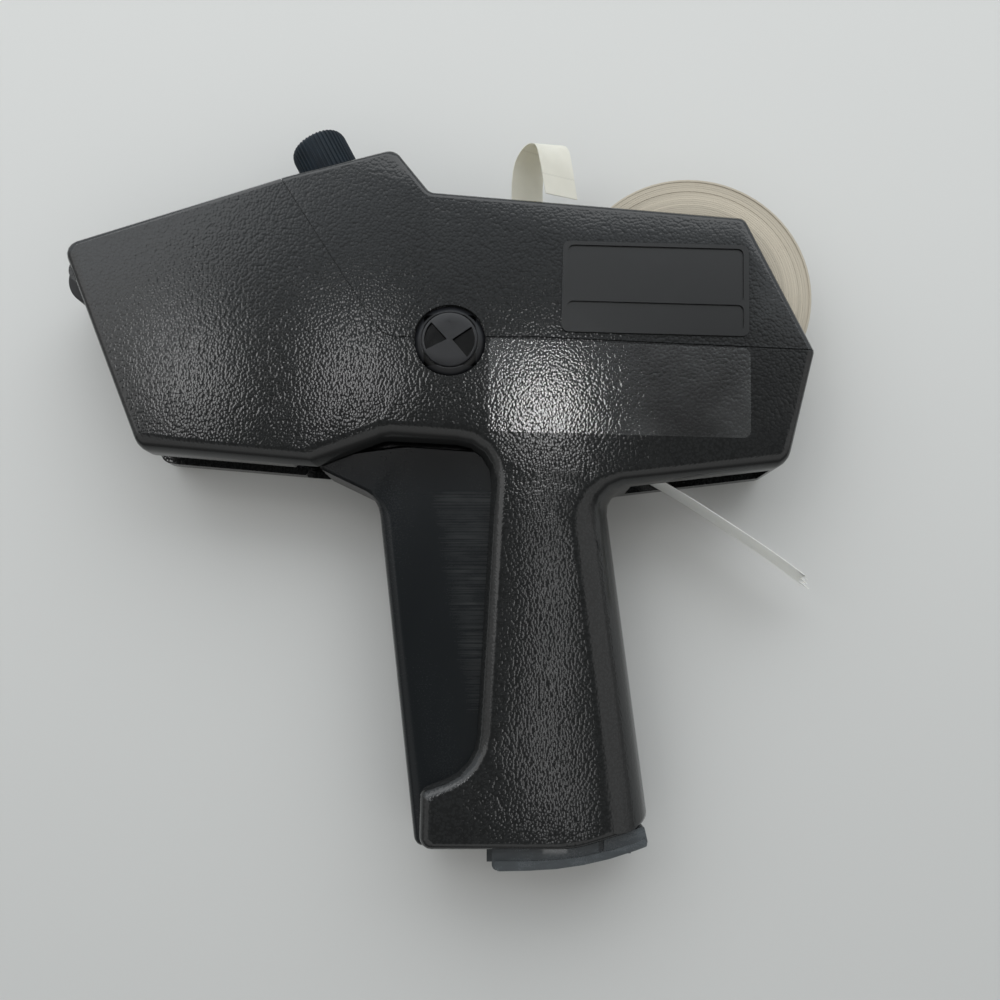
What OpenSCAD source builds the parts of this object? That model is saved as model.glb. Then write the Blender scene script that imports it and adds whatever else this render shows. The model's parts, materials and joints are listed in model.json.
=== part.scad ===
// Hand-held price labeller lying on its right side.
// X runs from the nose to the rear, Y from the handle foot to the knob, Z from right face to left face.
// Shapes are drawn about the lock axis, with Z zero on the joint plane of the two housing halves.

/* [Housing] */
// Thickness of the housing, right face to left face
body_t = 32; // [31:0.5:36]
// Wall of the shells and covers
wall = 2.2; // [1.8:0.1:2.6]
// Lock axis forward to the nose corner
nose_reach = 110.9; // [108:0.1:114]
// Nose corner above the lock axis
nose_h = 28.4; // [27:0.1:30]
// Lock axis forward to the chin corner
chin_reach = 86.2; // [85:0.1:89]
// Chin corner below the lock axis
chin_drop = 30.9; // [30:0.1:33]
// Lock axis forward to the top peak
peak_reach = 16.4; // [15:0.1:18]
// Top peak above the lock axis
peak_h = 57.6; // [57:0.1:60]
// Lock axis back to the upper rear corner
rear_top_reach = 84.2; // [82:0.1:88]
// Upper rear corner above the lock axis
rear_top_h = 36.5; // [35:0.1:39]
// Lock axis back to the rearmost corner
rear_reach = 102.6; // [101:0.1:106]
// Lock axis back to the lower rear corner
rear_low_reach = 93.8; // [91:0.1:96]
// Lower rear corner below the lock axis
rear_low_drop = 35.2; // [34.5:0.1:37]
// Rounding of the body's side edges
edge_round = 2.2; // [1:0.1:3]
// Rounding of the smooth bevel along the lower edges
bevel_round = 4.5; // [3:0.1:6]
// Gap along the seam between cover and shell
seam_gap = 0.25; // [0.1:0.05:0.5]
// Half width of the long paper slots between the two halves
slot_half = 7; // [6.8:0.1:7.4]
// Diameter of the lock's head
lock_d = 20; // [18:0.5:22]

/* [Handle] */
// Handle foot below the lock axis
foot_drop = 137.7; // [135:0.1:141]
// Front of the foot forward of the lock axis
foot_reach = 7.2; // [6.5:0.1:8]
// Rear of the handle at its lower end, behind the lock axis
grip_rear_low = 54.5; // [53.5:0.1:57]
// Rear of the handle at its upper end, behind the lock axis
grip_rear_top = 43.9; // [43:0.1:45]
// Rounding of the handle's rear edges
grip_round = 13; // [10:0.5:13]
// Depth of the end cap below the handle
cap_depth = 6; // [4:0.1:8]

/* [Trigger] */
// Trigger travel in degrees
trigger_travel = 12; // [8:0.5:12]
// Outside width of the trigger channel
trigger_w = 21.2; // [20.8:0.1:21.6]
// Plate thickness of the trigger cheeks
cheek_t = 2.2; // [1.6:0.1:2.4]
// Diameter of the trigger pivot pin
pivot_d = 4; // [3:0.5:5]
// Coils of the return spring
spring_coils = 8; // [6:1:10]
// Wire diameter of the return spring
spring_wire = 0.9; // [0.7:0.1:1.1]
// Mean diameter of the return spring
spring_d = 8; // [7:0.5:9]

/* [Drive] */
// Gear module
gear_m = 1.5; // [1.4:0.05:1.6]
// Teeth on the drive pinion
pinion_teeth = 12; // [11:1:13]
// Face width of each gear, sector and rack
gear_w = 2; // [1.6:0.1:2]
// Backlash between meshing teeth
backlash = 0.5; // [0.4:0.05:0.6]
// Diameter of the gear shaft
gear_shaft_d = 6; // [5:0.5:6.5]

/* [Print head] */
// Lean of the knob axis from upright, in degrees
head_lean = 27.5; // [26.5:0.5:28.5]
// Number of type bands
band_count = 6; // [5:1:6]
// Pitch of the type bands
band_pitch = 3.3; // [3:0.1:3.4]
// Lock axis forward to the type face
type_reach = 46; // [44:0.1:47]
// Knob diameter
knob_d = 17.2; // [15:0.2:17.6]
// Ribs round the knob
knob_ribs = 40; // [30:2:48]
// Lock axis to the knob's outer end, along the knob axis
knob_end = 78.8; // [77:0.1:81]
// Lock axis forward to the knob axis
knob_off = 6.5; // [5.5:0.1:7.5]
// Diameter of the selector shaft
selector_d = 5; // [4:0.5:6]
// Diameter of the band wheels
wheel_d = 16.6; // [14:0.2:17]

/* [Label path] */
// Width of the label web
web_w = 12; // [11:0.1:12.2]
// Outside diameter of the label roll
roll_d = 71; // [62:0.5:72]
// Inside diameter of the roll core
core_d = 25.4; // [22:0.1:28]
// Wall of the roll core
core_t = 1.4; // [1:0.1:2]
// Thickness of the paper solids
paper_t = 0.25; // [0.2:0.05:0.4]
// Applicator roller diameter
applicator_d = 15; // [13:0.5:16]
// Feed wheel diameter
feed_d = 16; // [14:0.5:16.4]
// Pinch roller diameter
pinch_d = 4.8; // [4:0.1:5]
// Ink roller diameter
ink_d = 10; // [8:0.5:10.5]
// Ink arm length
ink_arm_len = 30; // [28:0.5:32]
// Ink arm swing in degrees while the trigger is squeezed
ink_swing = 42; // [40:1:46]

/* [Fits] */
// Radial clearance of a turning part on its shaft
run_fit = 0.06; // [0.03:0.01:0.1]
// Radial clearance of a fixed pin in its hole
hold_fit = 0.02; // [0.01:0.01:0.03]
// Clearance of a sliding part in its guide
slide_fit = 0.3; // [0.2:0.05:0.4]
// Clearance between parts that pass each other
pass_fit = 0.6; // [0.5:0.05:0.8]
// Gap between the full label roll and the feed wheel
roll_gap = 2.1; // [1.5:0.1:3]
// Room round the full label roll
bay_fit = 1.5; // [1:0.1:2]
// Gap between the applicator roller and the peel bar
peel_gap = 3.4; // [2:0.1:4]

/* [Hidden] */
$fn = 48;
eps = 0.01;
half = body_t / 2;
inner_half = half - wall;
seat = 0.8;
corner_steps = 4;

// Plain vector helpers
function unit(v) = v / norm(v);
function flat(p) = [p[0], p[1]];
function cross2(a, b) = a[0] * b[1] - a[1] * b[0];
function angle_of(v) = atan2(v[1], v[0]);
function turn_to(a, b) = let (d = (b - a) % 360) d > 180 ? d - 360 : d < -180 ? d + 360 : d;
function at_angle(r, a) = [r * cos(a), r * sin(a)];

// Head frame: x runs to the rear across the knob axis, y runs up the knob axis
function from_head(a, w) = [a * cos(head_lean) - w * sin(head_lean), a * sin(head_lean) + w * cos(head_lean)];
module head() rotate(head_lean) children();

// Fillet of one corner, from its neighbours and radius
function corner_arc(p, q, s, r, steps) =
    let (to_p = unit(p - q), to_s = unit(s - q), open = acos(to_p * to_s),
         centre = q + unit(to_p + to_s) * r / sin(open / 2),
         start = angle_of(q + to_p * r / tan(open / 2) - centre),
         sweep = turn_to(start, angle_of(q + to_s * r / tan(open / 2) - centre)))
    [for (i = [0:steps]) centre + at_angle(r, start + sweep * i / steps)];

// Outline of a list of corners [x, y, radius]
function rounded(c, steps = corner_steps) =
    let (n = len(c))
    [for (i = [0:n - 1], p = corner_arc(flat(c[(i + n - 1) % n]), flat(c[i]), flat(c[(i + 1) % n]),
                                        c[i][2], steps)) p];

// Corners moved inwards by a distance for each edge; radii follow
function inset_corners(c, d) =
    let (n = len(c), dirs = [for (i = [0:n - 1]) unit(flat(c[(i + 1) % n]) - flat(c[i]))])
    [for (i = [0:n - 1])
        let (h = (i + n - 1) % n, u = dirs[h], v = dirs[i],
             pu = flat(c[i]) + [-u[1], u[0]] * d[h], pv = flat(c[i]) + [-v[1], v[0]] * d[i],
             q = pu + u * cross2(pv - pu, v) / cross2(u, v), mean = (d[h] + d[i]) / 2,
             r = cross2(u, v) > 0 ? max(c[i][2] - mean, 0.3) : c[i][2] + mean)
        [q[0], q[1], r]];

// Inset of an edge at height z, for an edge rounding that ends on the top face and runs on a little past it
over = 0.4;
function rim(z, top, r) =
    abs(z) <= top - r ? 0 : abs(z) > top ? r + 2 * over : r * (1 - sqrt(max(0, 1 - pow((abs(z) - top + r) / r, 2))));

// Outlines of a form whose edges are rounded towards its top face
function rounded_rings(c, edges, heights, top, skin = 0) =
    [for (z = heights) rounded(inset_corners(c, [for (r = edges) skin + rim(z, top, max(r - skin, 0.3))]))];

// Stack of outlines into one closed solid
module loft(rings, heights) {
    n = len(rings[0]);
    m = len(rings);
    points = [for (k = [0:m - 1], p = rings[k]) [p[0], p[1], heights[k]]];
    sides = [for (k = [0:m - 2], i = [0:n - 1])
        let (a = k * n + i, b = k * n + (i + 1) % n) each [[a, a + n, b], [b, a + n, b + n]]];
    bottom = [for (i = [0:n - 1]) (i + n - 1) % n];
    top = [for (i = [n - 1:-1:0]) (m - 1) * n + i];
    polyhedron(points, concat([bottom], sides, [top]));
}

// Closed strip along a path, with the width direction given at each point
module ribbon(path, across, width, thick) {
    n = len(path);
    points = [for (i = [0:n - 1])
        let (along = unit(path[min(i + 1, n - 1)] - path[max(i - 1, 0)]), w = unit(across[i]) * width / 2,
             t = unit(cross(along, w)) * thick / 2)
        each [path[i] - w - t, path[i] + w - t, path[i] + w + t, path[i] - w + t]];
    sides = [for (i = [0:n - 2], j = [0:3])
        let (a = 4 * i + j, b = 4 * i + (j + 1) % 4) each [[a, a + 4, b], [b, a + 4, b + 4]]];
    last = 4 * n - 4;
    polyhedron(points, concat([[0, 1, 2], [0, 2, 3]], sides,
        [[last, last + 2, last + 1], [last, last + 3, last + 2]]));
}

// Smooth curve through points, for paper paths
function spline(p, steps) =
    let (n = len(p))
    [for (i = [0:n - 2], k = [0:(i == n - 2 ? steps : steps - 1)])
        let (t = k / steps, a = p[max(i - 1, 0)], b = p[i], c = p[i + 1], d = p[min(i + 2, n - 1)])
        0.5 * (2 * b + (c - a) * t + (2 * a - 5 * b + 4 * c - d) * t * t
               + (3 * b - a - 3 * c + d) * t * t * t)];

// Pieces that stand on both sides of the joint plane
module both_sides() {
    children();
    mirror([0, 0, 1]) children();
}

// Shaft across the joint plane
module cross_rod(p, d, z0, z1) translate([p[0], p[1], z0]) cylinder(d = d, h = z1 - z0);

// Gears: pitch radii, axes and meshing direction
pressure = 25;
pinion_r = gear_m * pinion_teeth / 2;
addendum = 0.9 * gear_m;
dedendum = 1.15 * gear_m;
pivot_rise = 8.2;
pivot = [-1, -(foot_drop - pivot_rise)];
sector_r = norm(pivot) - pinion_r;
mesh_dir = angle_of(-pivot);
stroke = sector_r * trigger_travel * PI / 180;
gear_z = web_w / 2 + 0.4;
trigger_half = trigger_w / 2;

// Flank of an involute tooth: half angle of the tooth at radius r
function inv_angle(a) = tan(a) * 180 / PI - a;
function tooth_half(r, pitch_r) =
    let (base = pitch_r * cos(pressure), thick = PI * gear_m / 2 - backlash / 2,
         at_pitch = thick / pitch_r / 2 * 180 / PI)
    at_pitch + inv_angle(pressure) - (r > base ? inv_angle(acos(base / r)) : 0);
function tooth(pitch_r, a) =
    let (radii = [for (k = [0:3]) pitch_r - dedendum + (addendum + dedendum) * k / 3])
    concat([for (r = radii) at_angle(r, a - tooth_half(r, pitch_r))],
           [for (k = [3:-1:0]) at_angle(radii[k], a + tooth_half(radii[k], pitch_r))]);

// Housing outline, counter-clockwise from the nose: [x, y, corner radius]
arch_reach = 36.5;
arch_drop = 35.2;
shell_corners = [
    [-nose_reach, nose_h, 4],
    [-chin_reach, -chin_drop, 4],
    [-arch_reach, -arch_drop, 2],
    [-18, -28.1, 8],
    [12.2, -29.8, 10],
    [7.4, -(foot_drop - 20.7), 13],
    [-foot_reach, -(foot_drop - 15.2), 2.5],
    [-foot_reach, -foot_drop, 3],
    [34, -foot_drop, 30],
    [grip_rear_low, -(foot_drop - 6.2), 3],
    [grip_rear_top, -41, 7],
    [rear_low_reach, -rear_low_drop, 4.5],
    [rear_reach, -2.9, 2],
    [rear_top_reach, rear_top_h, 3],
    [-6, 44.4, 3],
    [-peak_reach, peak_h, 4],
    [-47, 49.4, 60]
];
// Side rounding of each edge, from the corner of the same place to the next
shell_edges = [edge_round, bevel_round, 6, 6, 5, 4, 3, 2, 2, grip_round, bevel_round,
    edge_round, edge_round, edge_round, edge_round, edge_round, edge_round];
shell_levels = concat([-3], [for (f = [0.19, 0.42, 0.6, 0.74, 0.85, 0.92, 0.97]) f * half], [half + over]);
pocket_levels = concat([-4], [for (f = [0.3, 0.6, 0.84]) f * inner_half], [inner_half + over]);

// Seam: leaning in front, then level through the lock to the rear corner
seam_off = 19.9;
seam_h = 0.95;
seam_lean = 32.6;
seam_low = [-18.7, seam_h];
seam_top = seam_low + 90 * [-sin(seam_lean), cos(seam_lean)];
cover_region = [
    [seam_low[0], seam_low[1], 8],
    [24, seam_h, 60],
    [rear_reach + 12, -3.4, 1],
    [rear_reach + 12, 85, 1],
    [seam_top[0], seam_top[1], 1]
];
module cover_prism(grow)
    translate([0, 0, -1]) linear_extrude(half + 4)
        polygon(rounded(inset_corners(cover_region, [for (p = cover_region) -grow]), 8));

// Places of the shafts, bosses and screws
applicator_at = [-nose_reach + 5.9, nose_h - 6.9];
applicator_axle_d = 4;
feed_axle_d = 4;
pinch_axle_d = 2;
tail_dir = unit([0.833, -0.553]);
tail_side = [-tail_dir[1], tail_dir[0]];
nip_at = [grip_rear_top + 7.3, -33.2];
feed_at = nip_at + tail_side * (feed_d / 2 + paper_t / 2 + 0.1);
pinch_at = nip_at - tail_side * (pinch_d / 2 + paper_t / 2 + 0.1);
roll_dir = 71.8;
roll_at = feed_at + at_angle(feed_d / 2 + roll_gap + roll_d / 2, roll_dir);
hub_pin_d = 8;
screw_at = [[-nose_reach + 22.9, nose_h + 1.1], [-peak_reach + 1.4, peak_h - 11.6],
    [grip_rear_top - 5.9, -58], [rear_low_reach - 5.2, -rear_low_drop + 7.2]];
screw_d = 2.8;
screw_head_d = 5.4;
post_d = 6.4;

// Print head, in the head frame
knob_r = knob_d / 2;
rack_root = pinion_r + dedendum;
plate_t = 3;
plate_top = rack_root + plate_t;
band_bottom = plate_top + 0.5;
band_w = band_pitch - 0.4;
band_top = band_bottom + band_count * band_pitch;
top_plate_t = 3;
band_t = 1;
nose_r = 2.5;
tongue_half = inner_half - 0.4;
rail_t = 1.6;
rail_in = inner_half - 2.2;
ink_start = 22.6;
ink_rest = [-(type_reach + ink_d / 2 + 0.6), band_top + 1.7];
ink_pivot = ink_rest + ink_arm_len * [cos(ink_start), sin(ink_start)];
ink_arm_z = knob_r + 0.8;
ink_arm_t = 1.6;
ink_pin_d = 3;
platen_face = type_reach + stroke + 0.4;
platen_t = 3.6;
platen_low = 10;
platen_high = band_top + 2.5;
peel_d = 3;
peel_at = applicator_at + at_angle((applicator_d + peel_d) / 2 + peel_gap, -30.5);

// Lock
lock_head_t = 2.2;
lock_proud = 1;
lock_shank_d = 8.2;
lock_low = inner_half - 2.9;
lock_lug_r = 6.4;
lock_lug_w = 4;

// Handle end cap
cap_half = 9.4;
cap_front = 11.9;
cap_plug_top = foot_drop - 20;
cap_lip_half = 12.4;

// Trigger outline, counter-clockwise from the beak tip: [x, y, corner radius]
trigger_corners = [
    [-arch_reach - 0.9, -arch_drop + 3.1, 1.4],
    [-arch_reach + 0.2, -arch_drop - 0.5, 1.4],
    [-20.3, -43.4, 9],
    [-foot_reach - 1.7, -foot_drop - 0.2, 2.2],
    [1.5, -foot_drop + 0.6, 5],
    [7.5, -(foot_drop - 19.7), 10],
    [14.5, -52, 8],
    [14.5, -31, 3],
    [-14, -28.9, 20]
];
trigger_edges = [0.7, 0.7, 3.5, 1.5, 0.5, 0.5, 0.5, 0.5, 0.8];
trigger_levels = [for (f = [-1, -0.94, -0.84, -0.66, 0.66, 0.84, 0.94, 1]) f * trigger_half];
channel_skin = [2.4, 2.4, 2.4, -1, -9, -9, -9, -9, -9];
spring_y = -(foot_drop - 39.7);
spring_front = 6.6;
grip_slope = (grip_rear_low - grip_rear_top) / (foot_drop - 6.2 - 41);
function grip_rear(y) = grip_rear_top + (-41 - y) * grip_slope;
spring_rear = grip_rear(spring_y) - wall - 0.5;
plug_inset = wall + rim(cap_half, inner_half, grip_round - wall) + slide_fit + 0.2;
function plug_rear(y) = grip_rear(y) - plug_inset;

// Whole object's box, to put the origin under its middle
knob_round = 1.8;
x_low = applicator_at[0] - applicator_d / 2;
x_high = roll_at[0] + roll_d / 2;
y_low = -(foot_drop + cap_depth);
y_high = from_head(knob_r - knob_round + 0.2 - knob_off, knob_end - 2.6)[1] + knob_round;
origin = [-(x_low + x_high) / 2, -(y_low + y_high) / 2, half];
module place() translate(origin) children();

// One half of the housing, drawn on the upper side and parted along the seam
module slab(z0, z1) translate([-200, -200, z0]) cube([400, 400, z1 - z0]);
module half_outer() intersection() {
    loft(rounded_rings(shell_corners, shell_edges, shell_levels, half), shell_levels);
    slab(0, half);
}
module half_pocket() intersection() {
    loft(rounded_rings(shell_corners, shell_edges, pocket_levels, inner_half, wall), pocket_levels);
    slab(-1, inner_half);
}
module body_skin() difference() {
    half_outer();
    half_pocket();
    cover_prism(seam_gap / 2);
}
module cover_skin() intersection() {
    difference() {
        half_outer();
        half_pocket();
    }
    cover_prism(-seam_gap / 2);
}

module boss(p, d, low) translate([p[0], p[1], low]) cylinder(d = d, h = inner_half - low + eps);

// Guide rails for the print carriage, above and below its plate
module rails(a0, a1) head()
    for (w = [rack_root - slide_fit - rail_t, plate_top + slide_fit])
        translate([a0, w, rail_in]) cube([a1 - a0, rail_t, inner_half - rail_in + eps]);

module platen_stops() head()
    for (w = [platen_low, platen_high - 6])
        translate([-platen_face - platen_t - 0.2 - 2, w, rail_in])
            cube([2, 6, inner_half - rail_in + eps]);

// Shafts held by each part: place, diameter, boss diameter, inner end of the boss
web_side = web_w / 2 + pass_fit;
body_shafts = [
    [pivot, pivot_d, pivot_d + 5, trigger_half + slide_fit],
    [applicator_at, applicator_axle_d, applicator_axle_d + 4, web_side],
    [feed_at, feed_axle_d, feed_axle_d + 4, web_side],
    [pinch_at, pinch_axle_d, pinch_axle_d + 3, web_side],
    [peel_at, peel_d, peel_d + 3, web_side],
    [from_head(ink_pivot[0], ink_pivot[1]), ink_pin_d, ink_pin_d + 4, ink_arm_z + ink_arm_t + slide_fit]
];
cover_shafts = [[roll_at, hub_pin_d, hub_pin_d + 6, web_side]];
body_screws = [screw_at[0], screw_at[2], screw_at[3]];
cover_screws = [screw_at[1]];

module bosses(shafts, screws) {
    for (s = shafts) boss(s[0], s[2], s[3]);
    for (p = screws) boss(p, post_d, 0);
}
module bores(shafts) for (s = shafts) cross_rod(s[0], s[1] + 2 * hold_fit, 0, half - seat);

module body_fittings() {
    bosses(body_shafts, body_screws);
    rails(-platen_face + 0.05, -seam_off - 1.6);
    platen_stops();
}
module cover_fittings() {
    bosses(cover_shafts, cover_screws);
    rails(-seam_off + 6.4, 12);
}

// Openings in the rim: knob slot, roll bay, nose, paper slots, trigger and end cap
module rim_cut(points, depth) translate([0, 0, -1]) linear_extrude(depth + 1) polygon(points);
module knob_slot() head() translate([-knob_off - stroke - knob_r - pass_fit, 50, -1])
    cube([stroke + knob_d + 2 * pass_fit, 50, knob_r + pass_fit + 1]);
module roll_bay() cross_rod(roll_at, roll_d + 2 * bay_fit, -1, slot_half);
module cover_openings() {
    knob_slot();
    rim_cut([[12, 60], [12, 36], [rear_top_reach - 6, rear_top_h - 6.5], [rear_reach - 9, -9],
             [rear_reach + 12, -9], [rear_reach + 12, 60]], slot_half);
    roll_bay();
}
module body_openings() {
    knob_slot();
    roll_bay();
    rim_cut([[-nose_reach - 14, 45], [-nose_reach - 14, -18], [-chin_reach - 1.8, -18],
             [-nose_reach + 10.9, 14], [-nose_reach + 13.9, 24], [-nose_reach + 17.9, 28],
             [-nose_reach + 17.9, 45]], slot_half);
    rim_cut([[-chin_reach - 8, -50], [-arch_reach - 1.5, -50], [-arch_reach - 1.5, -26],
             [-chin_reach - 8, -chin_drop + 4.4]], slot_half);
    rim_cut([[grip_rear_top + 7.2, -50], [rear_low_reach - 3.2, -50],
             [rear_low_reach - 3.2, -rear_low_drop + 4], [grip_rear_top + 7.2, -rear_low_drop + 1]],
            slot_half);
    rim_cut([[-arch_reach - 9, -37], [-arch_reach, -24], [17, -24], [17, -60], [15, -112],
             [10.4, -(foot_drop - 18)], [2, -(foot_drop - 9)], [2, -foot_drop - 8],
             [-foot_reach - 13, -foot_drop - 8], [-foot_reach - 13, -100], [-arch_reach - 9, -50]],
            trigger_half + 0.5);
    rim_cut([[cap_front - slide_fit, -foot_drop - 9], [plug_rear(-foot_drop - 9) + slide_fit, -foot_drop - 9],
             [plug_rear(-(foot_drop - 12)) + slide_fit, -(foot_drop - 12)],
             [cap_front - slide_fit, -(foot_drop - 12)]], cap_half + slide_fit);
}

// Bare panel moulded on the left cover, with two shallow recesses
plate_at = [31.3, 2.4];
plate_size = [52.6, 26.6];
plate_turn = -1.6;
plate_proud = 0.6;
module panel_box(x, y, w, h, r, z0, z1)
    translate([0, 0, z0]) linear_extrude(z1 - z0)
        polygon(rounded([[x, y, r], [x + w, y, r], [x + w, y + h, r], [x, y + h, r]]));
module bare_panel() translate([plate_at[0], plate_at[1], 0]) rotate(plate_turn) difference() {
    panel_box(0, 0, plate_size[0], plate_size[1], 2, half - 0.5, half + plate_proud);
    panel_box(1.5, 1.6, plate_size[0] - 3, 7.4, 1.6, half + plate_proud - 0.5, half + 2);
    panel_box(1.5, 9.8, plate_size[0] - 3, plate_size[1] - 10.9, 1.6, half + plate_proud - 0.5, half + 2);
}

// Lock hole in the left half; its notches let the lugs through at a quarter turn
module lock_cuts() {
    translate([0, 0, half - lock_head_t + lock_proud - 0.1]) cylinder(d = lock_d + 0.6, h = 10);
    translate([0, 0, 1]) cylinder(d = lock_shank_d + 0.4, h = half);
    translate([-lock_lug_w / 2 - slide_fit, -lock_lug_r - slide_fit, lock_low])
        cube([lock_lug_w + 2 * slide_fit, 2 * (lock_lug_r + slide_fit), half]);
}

// Right half: split boss for the gear shaft, and holes for the screws
module shaft_boss(side) intersection() {
    boss([0, 0], gear_shaft_d + 6, lock_low);
    translate([-20, side > 0 ? seam_h + seam_gap / 2 : seam_h - seam_gap / 2 - 40, 0]) cube([40, 40, half]);
}
module right_cuts(screws) {
    cross_rod([0, 0], gear_shaft_d + 2 * hold_fit, 0, half - seat);
    for (p = screws) {
        cross_rod(p, screw_d + 0.2, -1, half + 1);
        cross_rod(p, screw_head_d + 0.4, half - 2.6, half + 1);
    }
}
module left_cuts(screws) {
    lock_cuts();
    for (p = screws) cross_rod(p, screw_d + 2 * hold_fit, -1, 9);
}

module left_body_shell() color([0.21, 0.22, 0.22]) place() difference() {
    union() {
        body_skin();
        body_fittings();
    }
    body_openings();
    bores(body_shafts);
    left_cuts(body_screws);
}
module right_body_shell() color([0.21, 0.22, 0.22]) place() mirror([0, 0, 1]) difference() {
    union() {
        body_skin();
        body_fittings();
        shaft_boss(-1);
    }
    body_openings();
    bores(body_shafts);
    right_cuts(body_screws);
}
module left_top_cover() color([0.23, 0.24, 0.25]) place() {
    difference() {
        union() {
            cover_skin();
            cover_fittings();
        }
        cover_openings();
        bores(cover_shafts);
        left_cuts(cover_screws);
    }
    bare_panel();
}
module right_top_cover() color([0.23, 0.24, 0.25]) place() mirror([0, 0, 1]) difference() {
    union() {
        cover_skin();
        cover_fittings();
        shaft_boss(1);
    }
    cover_openings();
    bores(cover_shafts);
    right_cuts(cover_screws);
}

// Quarter-turn lock with a bow-tie finger recess
module recess_wing(a0, a1) linear_extrude(4)
    polygon(concat([for (i = [0:6]) at_angle(6.6, a0 + (a1 - a0) * i / 6)], [at_angle(0.9, (a0 + a1) / 2)]));
module cover_lock() color([0.08, 0.08, 0.09]) place() {
    difference() {
        translate([0, 0, half + lock_proud - lock_head_t]) rotate_extrude()
            polygon([[0, 0], [lock_d / 2, 0], [lock_d / 2, lock_head_t - 0.8],
                     [lock_d / 2 - 0.8, lock_head_t], [lock_d / 2 - 1.8, lock_head_t],
                     [lock_d / 2 - 2.2, lock_head_t - 0.6], [lock_d / 2 - 2.6, lock_head_t - 0.1],
                     [0, lock_head_t - 0.1]]);
        translate([0, 0, half + lock_proud - 1.5]) {
            recess_wing(-45, 22);
            recess_wing(135, 204);
        }
    }
    difference() {
        union() {
            translate([0, 0, lock_low]) cylinder(d = lock_shank_d, h = half - lock_low - 1);
            translate([-lock_lug_r, -lock_lug_w / 2, lock_low])
                cube([2 * lock_lug_r, lock_lug_w, inner_half - slide_fit - lock_low]);
        }
        translate([0, 0, lock_low - 1]) cylinder(d = gear_shaft_d + 2 * run_fit, h = half - 0.8 - lock_low);
    }
}

module housing_screws() color("silver") place() for (p = screw_at) translate([p[0], p[1], -half]) {
    translate([0, 0, 0.6]) difference() {
        cylinder(d = screw_head_d, h = 2);
        translate([-0.4, -screw_head_d, -1]) cube([0.8, 2 * screw_head_d, 1.8]);
    }
    translate([0, 0, 2]) cylinder(d = screw_d, h = half + 6.5);
}

// Grey plug that closes the handle foot, with a lip below and a rib on each side
module handle_end_cap() color([0.27, 0.29, 0.31]) place() {
    lip_end = [grip_rear_low - 1, -(foot_drop - 0.8)];
    linear_extrude(2 * cap_half, center = true)
        polygon([[cap_front, -cap_plug_top], [cap_front, -foot_drop - 2], [plug_rear(-cap_plug_top) + 1, -foot_drop - 2],
                 [plug_rear(-cap_plug_top), -cap_plug_top]]);
    difference() {
        linear_extrude(2 * cap_lip_half - 2, center = true) polygon(rounded([
            [cap_front, -foot_drop - slide_fit, 0.4], [cap_front, -foot_drop - cap_depth, 1.5],
            [36.4, -foot_drop - cap_depth + 0.5, 90], [lip_end[0], lip_end[1], 1],
            [grip_rear_low - 2, -(foot_drop - 5.3), 0.4], [34, -foot_drop - slide_fit, 20]]));
        translate([0, 0, cap_lip_half - 2.2]) linear_extrude(5)
            polygon([[cap_front + 28.4, -foot_drop - 1.2], [cap_front + 29.8, -foot_drop - 0.9],
                     [cap_front + 29.8, -foot_drop + 6], [cap_front + 28.4, -foot_drop + 6]]);
    }
    linear_extrude(2 * cap_lip_half, center = true) polygon(rounded([
        [cap_front + 0.6, -foot_drop - cap_depth + 2.6, 0.6], [cap_front + 0.6, -foot_drop - cap_depth, 1.5],
        [36.4, -foot_drop - cap_depth + 0.5, 90], [lip_end[0] - 0.4, lip_end[1] - 0.4, 0.6],
        [lip_end[0] - 0.6, lip_end[1] + 1.4, 0.6], [36.4, -foot_drop - cap_depth + 2.6, 90]]));
    translate([cap_front - 1.4, -foot_drop - 4.4, -8]) cube([2.4, 4.1, 16]);
}

// Trigger: rounded channel with two toothed sectors that drive the pinion
module trigger_form()
    loft(rounded_rings(trigger_corners, trigger_edges, trigger_levels, trigger_half), trigger_levels);
module trigger_channel()
    linear_extrude(trigger_w - 2 * cheek_t, center = true)
        polygon(rounded(inset_corners(trigger_corners, channel_skin)));
sector_lead = 2;
sector_low = sector_r - 62;
module sector_plate() {
    pitch_a = gear_m / sector_r * 180;
    first = -ceil(sector_lead / pitch_a);
    last = ceil((trigger_travel + sector_lead) / pitch_a);
    a0 = mesh_dir + (first - 0.5) * pitch_a;
    a1 = mesh_dir + (last + 0.5) * pitch_a;
    teeth = [for (i = [first:last], p = tooth(sector_r, mesh_dir + i * pitch_a)) p];
    root = sector_r - dedendum - 4;
    translate([pivot[0], pivot[1], gear_z]) linear_extrude(gear_w + 0.3)
        polygon(concat([at_angle(root, a0)], [at_angle(sector_r - dedendum, a0)], teeth,
                       [at_angle(sector_r - dedendum, a1), at_angle(root, a1),
                        at_angle(sector_low + 20, mesh_dir + 10), at_angle(sector_low, mesh_dir + 4),
                        at_angle(sector_low, mesh_dir - 4), at_angle(sector_low + 24, mesh_dir - 4)]));
}
module trigger() color([0.09, 0.1, 0.11]) place() difference() {
    union() {
        difference() {
            trigger_form();
            trigger_channel();
        }
        both_sides() sector_plate();
        cross_rod(pivot, pivot_d + 5, -trigger_half + 1, trigger_half - 1);
        translate([spring_front - 2.6, spring_y - 6, -trigger_half + 1])
            cube([2.4, 12, trigger_w - 2]);
        translate([spring_front - 1, spring_y, 0]) rotate([0, 90, 0])
            cylinder(d = spring_d - spring_wire - 0.8, h = 3);
    }
    cross_rod(pivot, pivot_d + 2 * run_fit, -half, half);
}
module trigger_pin() color("silver") place()
    cross_rod(pivot, pivot_d, -(half - seat), half - seat);

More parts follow.
